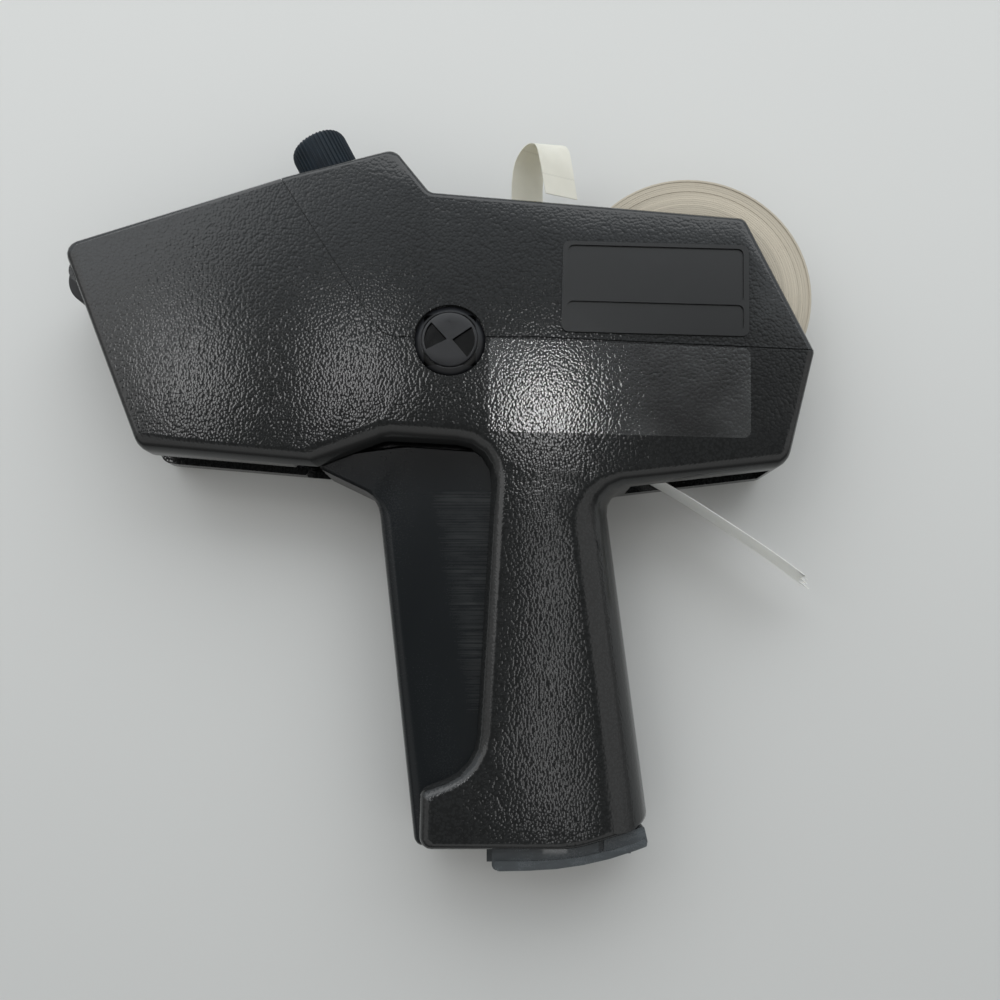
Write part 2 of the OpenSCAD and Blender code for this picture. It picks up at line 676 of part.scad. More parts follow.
// Return spring: one unbroken coil between the trigger seat and the handle's rear wall
spring_rings = 8;
spring_gap = (spring_rear - spring_front) / spring_coils - spring_wire;
echo(spring_gap = spring_gap);
module trigger_spring() color("silver") place() {
    n = spring_coils * spring_rings;
    path = [for (i = [0:n]) [spring_front + spring_wire / 2
        + (spring_rear - spring_front - spring_wire) * i / n,
        spring_y + spring_d / 2 * cos(360 * i / spring_rings), spring_d / 2 * sin(360 * i / spring_rings)]];
    points = [for (i = [0:n]) let (a = 360 * i / spring_rings)
        for (j = [0:5]) path[i] + spring_wire / 2 * (cos(60 * j) * [1, 0, 0]
            + sin(60 * j) * [0, cos(a), sin(a)])];
    sides = [for (i = [0:n - 1], j = [0:5]) let (a = 6 * i + j, b = 6 * i + (j + 1) % 6)
        each [[a, b, a + 6], [b, b + 6, a + 6]]];
    polyhedron(points, concat([[for (j = [5:-1:0]) j]], sides, [[for (j = [0:5]) 6 * n + j]]));
}

// Drive pinion: two gears on one sleeve
module gear(teeth_count, pitch_r, start, width) linear_extrude(width)
    polygon([for (i = [0:teeth_count - 1], p = tooth(pitch_r, start + 360 * i / teeth_count)) p]);
module gear_shaft() color("silver") place() cross_rod([0, 0], gear_shaft_d, -(half - seat), half - 2);
module drive_pinion() color([0.85, 0.83, 0.78]) place() difference() {
    union() {
        both_sides() translate([0, 0, gear_z])
            gear(pinion_teeth, pinion_r, mesh_dir + 180 + 180 / pinion_teeth, gear_w);
        cylinder(d = gear_shaft_d + 4, h = 2 * (lock_low - 0.4), center = true);
    }
    cylinder(d = gear_shaft_d + 2 * run_fit, h = body_t, center = true);
}

// Loop round the band wheel and the nose, in the plane across the knob axis
function loop_outline(big, small, dist, steps = 12) =
    let (lean = asin((big - small) / dist))
    concat([for (i = [0:steps]) at_angle(big, -90 - lean + (180 + 2 * lean) * i / steps)],
           [for (i = [0:steps]) [-dist, 0] + at_angle(small, 90 + lean + (180 - 2 * lean) * i / steps)]);
module up_the_knob(w, h) translate([-knob_off, w, 0]) rotate([-90, 0, 0]) linear_extrude(h) children();
loop_len = type_reach - knob_off - nose_r - band_t;
module band_loop(grow) polygon(loop_outline(wheel_d / 2 + grow, nose_r + grow, loop_len, 24));

// Rack: phase set by the pinion tooth that faces it
rack_phase = let (gap = (90 + head_lean - mesh_dir - 180) % (360 / pinion_teeth),
                  d = gap < -180 / pinion_teeth ? gap + 360 / pinion_teeth : gap) d * pinion_r * PI / 180;
module rack() {
    pitch = PI * gear_m;
    tip = pinion_r - addendum;
    half_at = function (w) (pitch / 2 - backlash / 2) / 2 + (w - pinion_r) * tan(pressure);
    first = -2;
    last = ceil((stroke + 6) / pitch);
    translate([0, 0, gear_z]) linear_extrude(gear_w) {
        for (i = [first:last]) let (c = rack_phase + i * pitch)
            polygon([[c - half_at(tip), tip], [c + half_at(tip), tip],
                     [c + half_at(rack_root), rack_root + eps], [c - half_at(rack_root), rack_root + eps]]);
        translate([(first - 0.5) * pitch, rack_root]) square([(last - first + 1) * pitch, plate_t]);
    }
}

carriage_rear = wheel_d / 2 + band_t + 1.2 - knob_off;
module print_carriage() color([0.75, 0.74, 0.7]) place() head() difference() {
    union() {
        both_sides() rack();
        translate([-type_reach + 2, rack_root, -tongue_half])
            cube([type_reach - 2 + carriage_rear + 3, plate_t, 2 * tongue_half]);
        up_the_knob(plate_top - eps, band_top - plate_top + 2 * eps) intersection() {
            band_loop(-slide_fit);
            translate([-80, -20]) square([80 - wheel_d / 2 - 2, 40]);
        }
        translate([-type_reach + 4, band_top, -knob_r + 0.2])
            cube([type_reach - 4 + carriage_rear + 3, top_plate_t, 2 * knob_r - 0.4]);
        translate([carriage_rear, plate_top - eps, -knob_r + 0.2])
            cube([3, band_top - plate_top + 2 * eps, 2 * knob_r - 0.4]);
    }
    up_the_knob(0, 80) circle(d = selector_d + 2 * run_fit);
}
module type_bands() color([0.12, 0.12, 0.13]) place() head()
    for (i = [0:band_count - 1]) up_the_knob(band_bottom + i * band_pitch, band_w) difference() {
        band_loop(band_t);
        band_loop(0);
    }
module band_wheels() color([0.85, 0.84, 0.8]) place() head()
    for (i = [0:band_count - 1]) up_the_knob(band_bottom + i * band_pitch, band_w) difference() {
        circle(d = wheel_d - 2 * run_fit);
        circle(d = selector_d + 2 * run_fit);
    }
shaft_top = knob_end - 8;
module selector_shaft() color("silver") place() head()
    up_the_knob(rack_root + 0.4, shaft_top - rack_root - 0.4) circle(d = selector_d);

// Ribbed knob with a rounded end
knob_len = 20;
function rib_radius(i) = knob_r - (i % 2) * 0.5;
module selector_knob() color([0.13, 0.16, 0.2]) place() head() difference() {
    intersection() {
        up_the_knob(knob_end - knob_len, knob_len)
            polygon([for (i = [0:2 * knob_ribs - 1]) at_angle(rib_radius(i), 180 * i / knob_ribs)]);
        translate([-knob_off, knob_end - knob_len, 0]) rotate([-90, 0, 0]) rotate_extrude()
            polygon(concat([[0, 0], [knob_r - 0.6, 0], [knob_r + 0.4, 1]],
                [for (i = [0:6]) [knob_r - knob_round + 0.2, knob_len - 2.6] + at_angle(knob_round, 15 * i)],
                [[knob_r - 5, knob_len - 0.3], [0, knob_len]]));
    }
    up_the_knob(knob_end - knob_len - 1, shaft_top - knob_end + knob_len + 1.3)
        circle(d = selector_d + 2 * run_fit);
}

// Platen that the type strikes, between stops on both halves
module platen() color("silver") place() head()
    translate([-platen_face - platen_t, platen_low, -inner_half + 0.2]) difference() {
        cube([platen_t, platen_high - platen_low, 2 * inner_half - 0.4]);
        translate([-1, -1, inner_half - 0.2 - web_w / 2])
            cube([2, platen_high - platen_low + 2, web_w]);
    }
module peel_bar() color("silver") place() cross_rod(peel_at, peel_d, -(half - seat), half - seat);

// Ink roller on a pair of arms that swing up as the print head goes forward
module ink_arm() color([0.8, 0.79, 0.76]) place() head() {
    both_sides() difference() {
        translate([0, 0, ink_arm_z]) linear_extrude(ink_arm_t)
            translate(ink_pivot) rotate(ink_start) polygon(loop_outline(3.4, 3.4, ink_arm_len));
        cross_rod(ink_pivot, ink_pin_d + 2 * run_fit, 0, half);
    }
    arm_mid = ink_arm_z + ink_arm_t / 2;
    cross_rod(ink_rest, 2.6, -arm_mid, arm_mid);
    cross_rod(ink_pivot + at_angle(ink_arm_len - 8, 180 + ink_start) + at_angle(2, 90 + ink_start), 2.4,
              -arm_mid, arm_mid);
}
module ink_arm_pins() color("silver") place() both_sides()
    cross_rod(from_head(ink_pivot[0], ink_pivot[1]), ink_pin_d, ink_arm_z - 0.2, half - seat);
module ink_roller() color([0.1, 0.1, 0.14]) place() head() difference() {
    cross_rod(ink_rest, ink_d, -web_w / 2, web_w / 2);
    cross_rod(ink_rest, 2.6 + 2 * run_fit, -half, half);
}

module applicator_roller() color([0.1, 0.1, 0.11]) place() difference() {
    cross_rod(applicator_at, applicator_d, -web_w / 2, web_w / 2);
    cross_rod(applicator_at, applicator_axle_d + 2 * run_fit, -half, half);
}
module applicator_axle() color("silver") place()
    cross_rod(applicator_at, applicator_axle_d, -(half - seat), half - seat);

// Feed wheel and pinch roller hold the liner where it leaves behind the handle
module feed_wheel() color([0.82, 0.8, 0.76]) place() translate([feed_at[0], feed_at[1], -web_w / 2])
    difference() {
        union() {
            cylinder(d = feed_d - 1, h = web_w);
            for (z = [1, web_w - 4]) translate([0, 0, z]) cylinder(d = feed_d, h = 3);
        }
        translate([0, 0, -1]) cylinder(d = feed_axle_d + 2 * run_fit, h = web_w + 2);
    }
module feed_axle() color("silver") place()
    cross_rod(feed_at, feed_axle_d, -(half - seat), half - seat);
module pinch_roller() color([0.1, 0.1, 0.11]) place() difference() {
    cross_rod(pinch_at, pinch_d, -web_w / 2, web_w / 2);
    cross_rod(pinch_at, pinch_axle_d + 2 * run_fit, -half, half);
}
module pinch_axle() color("silver") place()
    cross_rod(pinch_at, pinch_axle_d, -(half - seat), half - seat);

// Label roll on its core and hub; the outer turns have slipped sideways
module roll_hub() color([0.8, 0.79, 0.75]) place() {
    cross_rod(roll_at, hub_pin_d, -(half - seat), half - seat);
    cross_rod(roll_at, core_d - 2 * slide_fit, -web_w / 2, web_w / 2);
}
module roll_ring(d_in, d_out, z0, z1) translate([roll_at[0], roll_at[1], z0]) difference() {
    cylinder(d = d_out, h = z1 - z0, $fn = 96);
    translate([0, 0, -1]) cylinder(d = d_in, h = z1 - z0 + 2);
}
module roll_core() color([0.62, 0.52, 0.38]) place()
    roll_ring(core_d, core_d + 2 * core_t, -web_w / 2, web_w / 2);
slip = 0.4;
module label_roll() color([0.82, 0.78, 0.7]) place() {
    roll_ring(core_d + 2 * core_t + 2 * hold_fit, roll_d - 8, -web_w / 2, web_w / 2);
    roll_ring(roll_d - 8.2, roll_d - 3, -web_w / 2 - slip, web_w / 2 - slip);
    roll_ring(roll_d - 3.2, roll_d, -web_w / 2 - slip / 2, web_w / 2 - slip / 2);
}

// Free end of the label web: leaves the roll's front side and curls out of the open top
strip_start = [roll_at[0] - roll_d / 2 - paper_t / 2 - 0.35, roll_at[1], 0];
strip_turn = [0.78, 0.23, -0.57];
strip_steps = [[0, 0, 0], [-2.4, 10, 0], [-7.5, 18, -1], [-10.6, 26, -2.2], [-11.6, 35, -2.5],
    [-10.6, 43.6, -1.2], [-7.6, 47.4, 2.6], [-4.6, 45.2, 7], [-3.2, 38, 9.2], [-1.9, 28.4, 9.6]];
strip_path = spline([for (p = strip_steps) strip_start + p], 4);
function strip_across(i, n) =
    let (t = min(max((i / n - 0.1) / 0.25, 0), 1), s = t * t * (3 - 2 * t)) [0, 0, -1] * (1 - s) + strip_turn * s;
module label_strip() color([0.84, 0.83, 0.78]) place() {
    n = len(strip_path) - 1;
    ribbon(strip_path, [for (i = [0:n]) strip_across(i, n)], web_w, paper_t);
}

// Torn liner that hangs out behind the handle
tail_start = [nip_at[0], nip_at[1], 0] + 2.5 * [tail_dir[0], tail_dir[1], 0];
tail_len = 57;
tail_path = [for (i = [0:12]) let (s = tail_len * i / 12)
    tail_start + [tail_dir[0], tail_dir[1], 0] * s + [tail_side[0], tail_side[1], 0] * 1.2 * sin(180 * i / 12)];
module liner_tail() color([0.66, 0.67, 0.63]) place()
    ribbon(tail_path, [for (p = tail_path) [0, 0, -1]], web_w, paper_t);

echo(origin = origin, pivot = pivot, sector_ratio = sector_r / pinion_r, stroke = stroke);
echo(knob_axis = from_head(-knob_off, 0), forward = from_head(-1, 0), up = from_head(0, 1));
echo(trigger_travel = trigger_travel, ink_swing = ink_swing);
echo(ink_pivot = from_head(ink_pivot[0], ink_pivot[1]), ink_rest = from_head(ink_rest[0], ink_rest[1]));
echo(applicator_at = applicator_at, feed_at = feed_at, pinch_at = pinch_at, roll_at = roll_at);

left_body_shell();
right_body_shell();
left_top_cover();
right_top_cover();
cover_lock();
housing_screws();
handle_end_cap();
trigger();
trigger_pin();
trigger_spring();
gear_shaft();
drive_pinion();
print_carriage();
type_bands();
band_wheels();
selector_shaft();
selector_knob();
platen();
peel_bar();
ink_arm();
ink_arm_pins();
ink_roller();
applicator_roller();
applicator_axle();
feed_wheel();
feed_axle();
pinch_roller();
pinch_axle();
roll_hub();
roll_core();
label_roll();
label_strip();
liner_tail();
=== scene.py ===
"""Looks of a hand-held price labeller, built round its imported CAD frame.

Lengths are in metres. Shapes are drawn about the lock axis in millimetres and put in place by spot().
"""

import json
import math
from functools import cache

import bmesh
import bpy
from bpy.props import FloatProperty, FloatVectorProperty, IntProperty, PointerProperty
from bpy.types import Operator, Panel, PropertyGroup
from mathutils import Matrix, Vector
from mathutils.bvhtree import BVHTree


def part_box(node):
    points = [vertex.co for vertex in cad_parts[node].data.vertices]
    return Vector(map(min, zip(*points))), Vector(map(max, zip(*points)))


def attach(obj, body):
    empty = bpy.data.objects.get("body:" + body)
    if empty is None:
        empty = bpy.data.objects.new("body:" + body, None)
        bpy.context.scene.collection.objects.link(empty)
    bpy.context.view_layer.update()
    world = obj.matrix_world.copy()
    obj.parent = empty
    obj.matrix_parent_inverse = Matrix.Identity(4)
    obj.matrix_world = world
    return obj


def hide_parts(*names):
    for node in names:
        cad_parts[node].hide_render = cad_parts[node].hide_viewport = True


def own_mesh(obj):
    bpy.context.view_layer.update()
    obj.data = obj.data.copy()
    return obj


bl_info = {
    "name": "Price labeller looks",
    "version": (1, 0, 0),
    "blender": (4, 5, 0),
    "location": "3D View > Sidebar > Labeller",
    "description": "Dresses the packed price labeller with its mouldings, paper and finishes",
    "category": "Object",
}

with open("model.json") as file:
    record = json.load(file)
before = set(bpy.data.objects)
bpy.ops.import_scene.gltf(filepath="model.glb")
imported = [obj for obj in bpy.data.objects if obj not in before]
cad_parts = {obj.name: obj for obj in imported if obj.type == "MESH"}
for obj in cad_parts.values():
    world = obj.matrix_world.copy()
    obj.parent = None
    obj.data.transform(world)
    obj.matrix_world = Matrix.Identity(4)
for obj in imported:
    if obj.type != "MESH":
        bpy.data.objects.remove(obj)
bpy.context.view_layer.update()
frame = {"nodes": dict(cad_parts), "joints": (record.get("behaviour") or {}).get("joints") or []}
JOINTS = {joint["name"]: joint for joint in frame["joints"]}
LOCK_AXIS = Vector(JOINTS["lock_turn"]["pos_m"])
ROLL_AXIS = Vector(JOINTS["label_roll_turn"]["pos_m"])
MM = 0.001
FROM_LOCK = Matrix.Translation(LOCK_AXIS) @ Matrix.Scale(MM, 4)
HALF_BODY = 16.0  # millimetres from the joint plane to either face
LEFT_FACE = LOCK_AXIS.z + HALF_BODY * MM
HEAD_LEAN = math.radians(27.5)
KNOB_ALONG = -6.5  # millimetres from the lock axis to the knob axis, along the head
ROLL_RADIUS = 35.5
WEB_WIDTH = 12.0


def spot(x, y, z=0.0):
    """A point given in millimetres from the lock axis and the joint plane."""
    return LOCK_AXIS + Vector((x, y, z)) * MM


def head_matrix(along, up):
    """Places a shape at a point of the leaning print head, with its Z along the knob axis."""
    c, s = math.cos(HEAD_LEAN), math.sin(HEAD_LEAN)
    place = spot(along * c - up * s, along * s + up * c)
    turn = Matrix(((c, 0, -s), (s, 0, c), (0, -1, 0))).to_4x4()
    return Matrix.Translation(place) @ turn


# ---------------- settings


def colour(label, about, default):
    """A colour setting."""
    return FloatVectorProperty(name=label, description=about, subtype="COLOR", size=3, min=0, max=1, default=default)


def length(label, about, default):
    """A length setting in metres."""
    return FloatProperty(name=label, description=about, unit="LENGTH", default=default, min=0, precision=5)


def number(label, about, default):
    """A plain setting."""
    return FloatProperty(name=label, description=about, default=default, min=0)


def count(label, about, default, low, high):
    """A whole-number setting."""
    return IntProperty(name=label, description=about, default=default, min=low, max=high)


class LabellerFinish(PropertyGroup):
    """Colours and surface grain of the labeller."""

    shell: colour("Shell", "Grained plastic of the housing", (0.0135, 0.0142, 0.0143))
    trigger: colour("Trigger", "Smooth black plastic of the trigger", (0.006, 0.0075, 0.0085))
    knob: colour("Knob", "Blue-black plastic of the knob", (0.009, 0.0155, 0.0225))
    cap: colour("End cap", "Grey plastic of the end cap", (0.056, 0.064, 0.069))
    lock: colour("Lock", "Satin black plastic of the lock", (0.008, 0.0085, 0.01))
    natural: colour("Natural", "Uncoloured plastic of the inner parts", (0.55, 0.52, 0.44))
    steel: colour("Steel", "Steel of pins, shafts and spring", (0.56, 0.57, 0.58))
    rubber: colour("Rubber", "Rubber of the rollers and bands", (0.012, 0.012, 0.013))
    ink: colour("Ink", "Soaked foam of the ink roller", (0.012, 0.01, 0.03))
    roll: colour("Roll", "Edge of the wound label web", (0.57, 0.515, 0.415))
    label: colour("Label", "Face of the label web", (0.72, 0.7, 0.61))
    liner: colour("Liner", "Waxed liner paper", (0.84, 0.85, 0.81))
    core: colour("Core", "Board of the roll core", (0.36, 0.25, 0.14))
    grain_size: length("Grain size", "Width of one pebble of the moulded grain", 0.0008)
    grain_depth: length("Grain depth", "Height of the moulded grain", 0.00003)


class LabellerSize(PropertyGroup):
    """Sizes of the pieces that the looks add."""

    film: length("Film", "Thickness of the clear sticker", 0.00006)
    knob_ribs: count("Knob ribs", "Ribs round the knob", 40, 12, 80)
    roll_turns: count("Roll turns", "Visible turns of the label roll", 34, 8, 60)
    roll_slip: length("Roll slip", "How far the outer turns have slipped sideways", 0.0005)
    pads: count("Type pads", "Blank pads on one type band", 26, 6, 40)
    paper: length("Paper", "Thickness of the label web and liner", 0.00022)


class LabellerStage(PropertyGroup):
    """Camera, floor and lamps."""

    height: length("Camera height", "Camera above the left face", 0.2712)
    tilt: FloatProperty(
        name="Camera tilt", description="Tilt from straight down", unit="ROTATION", default=math.radians(8)
    )
    floor: colour("Floor", "Pale floor", (0.66, 0.665, 0.65))
    ceiling: number("Ceiling", "Light from straight above", 0.12)
    walls: number("Walls", "Light from the sides", 0.68)
    window: number("Window", "Extra light from the far side", 0.42)
    panel_power: number("Ceiling panels", "Power of each ceiling panel in watts", 0.12)
    wide_power: number("Wide lamp", "Power of the wide soft lamp in watts", 10.0)


# ---------------- materials


class Shade:
    """One socket of a node tree; sums, products and powers of it add Math nodes."""

    def __init__(self, tree, socket=None):
        self.tree = tree
        self.socket = socket

    def node(self, kind, sockets=None, out=0, **settings):
        """Adds a node, sets it up, then fills or links its sockets, and returns one output."""
        made = self.tree.nodes.new(kind)
        for name, value in settings.items():
            setattr(made, name, value)
        for name, value in (sockets or {}).items():
            if isinstance(value, Shade):
                self.tree.links.new(value.socket, made.inputs[name])
            else:
                made.inputs[name].default_value = value
        return Shade(self.tree, made.outputs[out] if len(made.outputs) else None)

    def math(self, operation, *values):
        return self.node("ShaderNodeMath", dict(enumerate(values)), operation=operation)

    def __add__(self, other):
        return self.math("ADD", self, other)

    __radd__ = __add__

    def __sub__(self, other):
        return self.math("SUBTRACT", self, other)

    def __rsub__(self, other):
        return self.math("SUBTRACT", other, self)

    def __mul__(self, other):
        return self.math("MULTIPLY", self, other)

    def __truediv__(self, other):
        return self.math("DIVIDE", self, other)

    def __pow__(self, other):
        return self.math("POWER", self, other)

    def largest(self, other):
        return self.math("MAXIMUM", self, other)

    def rise(self, low, high):
        """0 below low, 1 above high, smooth between; it falls where low is the larger one."""
        ends = {"Value": self, "From Min": min(low, high), "From Max": max(low, high)}
        made = self.node("ShaderNodeMapRange", ends, interpolation_type="SMOOTHSTEP")
        return 1 - made if low > high else made

    def between(self, low, high, soft):
        return self.rise(low - soft, low + soft) * self.rise(high + soft, high - soft)

    def axes(self, names="XYZ"):
        return [self.node("ShaderNodeSeparateXYZ", {0: self}, name) for name in names]

    def object_point(self):
        return self.node("ShaderNodeTexCoord", out="Object")

    def web_map(self):
        return self.node("ShaderNodeUVMap", uv_map="web")

    def vector(self, **parts):
        return self.node("ShaderNodeCombineXYZ", parts)

    def stretched(self, scale, place=(0, 0, 0)):
        return self.node("ShaderNodeMapping", {"Vector": self, "Location": place, "Scale": scale})

    def noise(self, scale, detail=2.0, rough=0.5):
        return self.node("ShaderNodeTexNoise", {"Vector": self, "Scale": scale, "Detail": detail, "Roughness": rough})

    def mix(self, share, first, second):
        """A colour between two, by this share."""
        return self.node("ShaderNodeMix", {0: share, 6: first, 7: second}, 2, data_type="RGBA")

    def bump(self, depth, strength=1.0):
        return self.node("ShaderNodeBump", {"Strength": strength, "Distance": depth, "Height": self})


def tint(rgb, times=1.0):
    """A colour socket's value, lighter or darker by a factor."""
    return (*(min(part * times, 1) for part in rgb), 1)


def finish_maker(paint):
    """Turns a function that gives a shader's sockets into one that makes a named material."""

    def make(name, *values, **more):
        made = bpy.data.materials.new(name)
        made.use_nodes = True
        made.node_tree.nodes.clear()
        root = Shade(made.node_tree)
        shader = root.node("ShaderNodeBsdfPrincipled", paint(root, *values, **more))
        root.node("ShaderNodeOutputMaterial", {"Surface": shader})
        return made

    return make


def pebbled(point, finish):
    """Low domes side by side, 1 on top of each one."""
    sockets = {"Vector": point, "Scale": 1 / finish.grain_size}
    cells = point.node("ShaderNodeTexVoronoi", sockets, "Distance")
    return 1 - cells * cells


@finish_maker
def grained_plastic(root, base, finish):
    """Charcoal moulding with a pebble grain, smooth on the lower bevels and on the raised panel."""
    point = root.object_point()
    pebbles = pebbled(point, finish)
    fine = point.noise(2600.0, 2.0, 0.6)
    patch = point.noise(55.0, 3.0, 0.6)
    (facing_up,) = root.node("ShaderNodeNewGeometry", out="Normal").axes("Y")
    bevel = facing_up.rise(-0.3, -0.6)
    (z,) = point.axes("Z")
    panel = z.rise(LEFT_FACE + 0.00003, LEFT_FACE + 0.00006)
    grain = 1 - bevel.largest(panel)
    shade = root.mix(pebbles.rise(0.6, 0.9) * grain, tint(base, 0.75), tint(base, 1.15))
    return {
        "Base Color": root.mix(patch.rise(0.5, 0.75) * 0.3, shade, tint(base, 1.4)),
        "Roughness": 0.07 + fine * 0.03 + panel * 0.2 + bevel * 0.15,
        "Specular IOR Level": 0.5,
        "Normal": (pebbles * grain).bump(finish.grain_depth),
    }


@finish_maker
def smooth_plastic(root, base, rough, coat=0.0, streak=(140, 140, 140), wear=0.06, shine=0.5):
    """Smooth moulded plastic with faint flow marks and fine rubbing."""
    point = root.object_point()
    flow = point.stretched(streak).noise(1.0, 4.0, 0.6)
    fine = point.noise(3200.0)
    return {
        "Base Color": root.mix(flow.rise(0.35, 0.7), tint(base, 0.85), tint(base, 1.25)),
        "Roughness": rough + (flow - 0.5) * wear * 2 + (fine - 0.5) * wear,
        "Coat Weight": coat,
        "Specular IOR Level": shine,
        "Normal": (fine * 0.4 + flow * 0.6).bump(0.00003, 0.5),
    }


@finish_maker
def lock_plastic(root, base):
    """Satin black plastic, cleaner in the finger recess, where painted shade makes its colour much darker."""
    point = root.object_point()
    x, y, z = point.axes()
    flow = point.noise(420.0, 3.0, 0.6)
    fine = point.noise(2600.0)
    # shaded_recess marks the recess floors: painted shade takes their colour down to a twentieth of the base, and they
    # are glossier.
    shaded_recess = z.rise(LEFT_FACE + 0.00055, LEFT_FACE + 0.00045)
    for offset in (x - LOCK_AXIS.x, y - LOCK_AXIS.y):
        shaded_recess = shaded_recess * offset.between(-0.0073, 0.0073, 0.0001)
    satin = root.mix(flow, tint(base, 0.7), tint(base, 1.5))
    return {
        "Base Color": root.mix(shaded_recess, satin, tint(base, 0.05)),
        "Roughness": 0.32 + (flow - 0.5) * 0.2 - shaded_recess * 0.2,
        "Specular IOR Level": 0.45,
        "Normal": (fine * 0.4 + flow * 0.6).bump(0.00003, 0.5),
    }


@finish_maker
def scratched_plastic(root, base):
    """Trigger plastic: satin, with painted shade that darkens it under the arch, and level rub marks where the cheek
    slides along the handle.
    """
    point = root.object_point()
    x, y = point.axes("XY")
    rub_foot, rub_top = LOCK_AXIS.y - 0.103, LOCK_AXIS.y - 0.0425
    left = (x - (LOCK_AXIS.x - 0.003)) - (LOCK_AXIS.y - 0.043 - y) * 0.176
    area = left.rise(-0.004, 0.004) * y.between(rub_foot, rub_top, 0.0008)
    lines = point.stretched((22, 2300, 300)).noise(1.0, 3.0, 0.7)
    broken = point.stretched((160, 420, 90)).noise(1.0, 2.0, 0.6)
    rub = area * lines.rise(0.4, 0.66) * (0.3 + broken.rise(0.35, 0.65) * 0.7)
    fine = point.noise(2400.0)
    flow = point.stretched((60, 18, 60)).noise(1.0, 3.0)
    # Painted shade: upwards, under the body's arch, the colour fades to a tenth of the base; clean carries this painted
    # shade.
    arch_shade = y.rise(LOCK_AXIS.y - 0.046, LOCK_AXIS.y - 0.03)
    clean = root.mix(arch_shade, root.mix(flow, tint(base, 0.8), tint(base, 1.3)), tint(base, 0.1))
    return {
        "Base Color": root.mix(rub, clean, (0.025, 0.027, 0.027, 1)),
        "Roughness": 0.26 + rub * 0.25 + (fine - 0.5) * 0.08 + (flow - 0.5) * 0.08,
        "Specular IOR Level": 0.25,
        "Normal": (fine * 0.5 + rub * 0.8).bump(0.00002, 0.6),
    }


@finish_maker
def brushed_steel(root, base):
    """Turned or drawn steel with fine marks."""
    point = root.object_point()
    marks = point.stretched((900, 900, 120)).noise(1.0, 3.0, 0.65)
    stain = point.noise(180.0, 3.0, 0.6)
    return {
        "Base Color": root.mix(stain.rise(0.4, 0.75), tint(base), tint(base, 0.78)),
        "Metallic": 1.0,
        "Roughness": 0.24 + marks * 0.2,
        "Normal": marks.bump(0.00001, 0.5),
    }


@finish_maker
def soft_rubber(root, base, rough):
    """Matt rubber, foam or board with a fine skin."""
    point = root.object_point()
    skin = point.noise(2200.0, 3.0, 0.6)
    dust = point.noise(240.0, 3.0, 0.6)
    return {
        "Base Color": root.mix(dust.rise(0.5, 0.8), tint(base), tint(base, 2.2)),
        "Roughness": rough + (dust - 0.5) * 0.2,
        "Normal": skin.bump(0.00006, 0.7),
    }


@finish_maker
def paper(root, base, rough, cut_lines=0.0, line_pitch=0.02):
    """Thin paper read along its own map: fibres, slight yellowing and the die cuts between labels."""
    along = root.web_map()
    u, v = along.axes("XY")
    fibre = along.stretched((1500, 260, 1)).noise(1.0, 4.0, 0.65)
    cloud = along.stretched((70, 70, 1)).noise(1.0, 3.0)
    step = root.math("FRACT", v / line_pitch)
    wave = root.math("SINE", u * 5200) * 0.006
    cut = (step + wave).between(0.488, 0.512, 0.008) * cut_lines
    shade = root.mix(cloud.rise(0.35, 0.7), tint(base), tint(base, 0.9))
    return {
        "Base Color": root.mix(cut, shade, tint(base, 0.78)),
        "Roughness": rough + (fibre - 0.5) * 0.15,
        "Normal": (fibre * 0.5 - cut).bump(0.00004, 0.5),
        "Subsurface Weight": 0.6,
        "Subsurface Radius": (1.0, 0.95, 0.85),
        "Subsurface Scale": 0.0008,
    }


@finish_maker
def wound_paper(root, base):
    """Edges of many paper turns: rings round the roll axis, with a little grime."""
    local = root.object_point().stretched((1, 1, 1), tuple(-ROLL_AXIS))
    x, y = local.axes("XY")
    radius = (x * x + y * y) ** 0.5
    rings = root.vector(X=radius * 5200, Y=x * 12, Z=y * 12).noise(1.0, 3.0, 0.7)
    broad = root.vector(X=radius * 620, Y=x * 5, Z=y * 5).noise(1.0)
    grime = local.noise(260.0, 4.0, 0.65)
    clean = root.mix(broad.rise(0.35, 0.65), tint(base, 0.88), tint(base, 1.12))
    lined = root.mix(rings.rise(0.42, 0.6) * 0.5, clean, tint(base, 0.72))
    return {
        "Base Color": root.mix(grime.rise(0.58, 0.8) * 0.3, lined, (0.42, 0.36, 0.28, 1)),
        "Roughness": 0.8 + (rings - 0.5) * 0.2,
        "Normal": (rings * 0.7 + broad * 0.3).bump(0.00008, 0.6),
    }


@finish_maker
def clear_film(root, finish):
    """Clear sticker over the grain: glossy and blank, hazy in patches."""
    point = root.object_point()
    u, v = root.web_map().axes("XY")
    haze = point.noise(38.0, 3.0, 0.6)
    edge = 1 - u.between(0.004, 0.996, 0.002) * v.between(0.012, 0.988, 0.006)
    dull = haze.rise(0.4, 0.7) * 0.5 + edge * 0.3
    return {
        "Base Color": root.mix(dull, (0.02, 0.021, 0.021, 1), (0.09, 0.095, 0.095, 1)),
        "Roughness": 0.06 + haze * 0.08,
        "IOR": 2.5,
        "Alpha": 0.36 + haze.rise(0.4, 0.75) * 0.06,
        "Normal": pebbled(point, finish).bump(finish.grain_depth * 0.8),
    }


@finish_maker
def pale_floor(root, base):
    """Matt floor with painted light: its colour grows lighter towards the window."""
    (y,) = root.object_point().axes("Y")
    # Painted light: the colour rises from 0.84 to 1.03 of the base towards the window side.
    return {"Base Color": root.mix(y.rise(-0.22, 0.2), tint(base, 0.84), tint(base, 1.03)), "Roughness": 0.75}


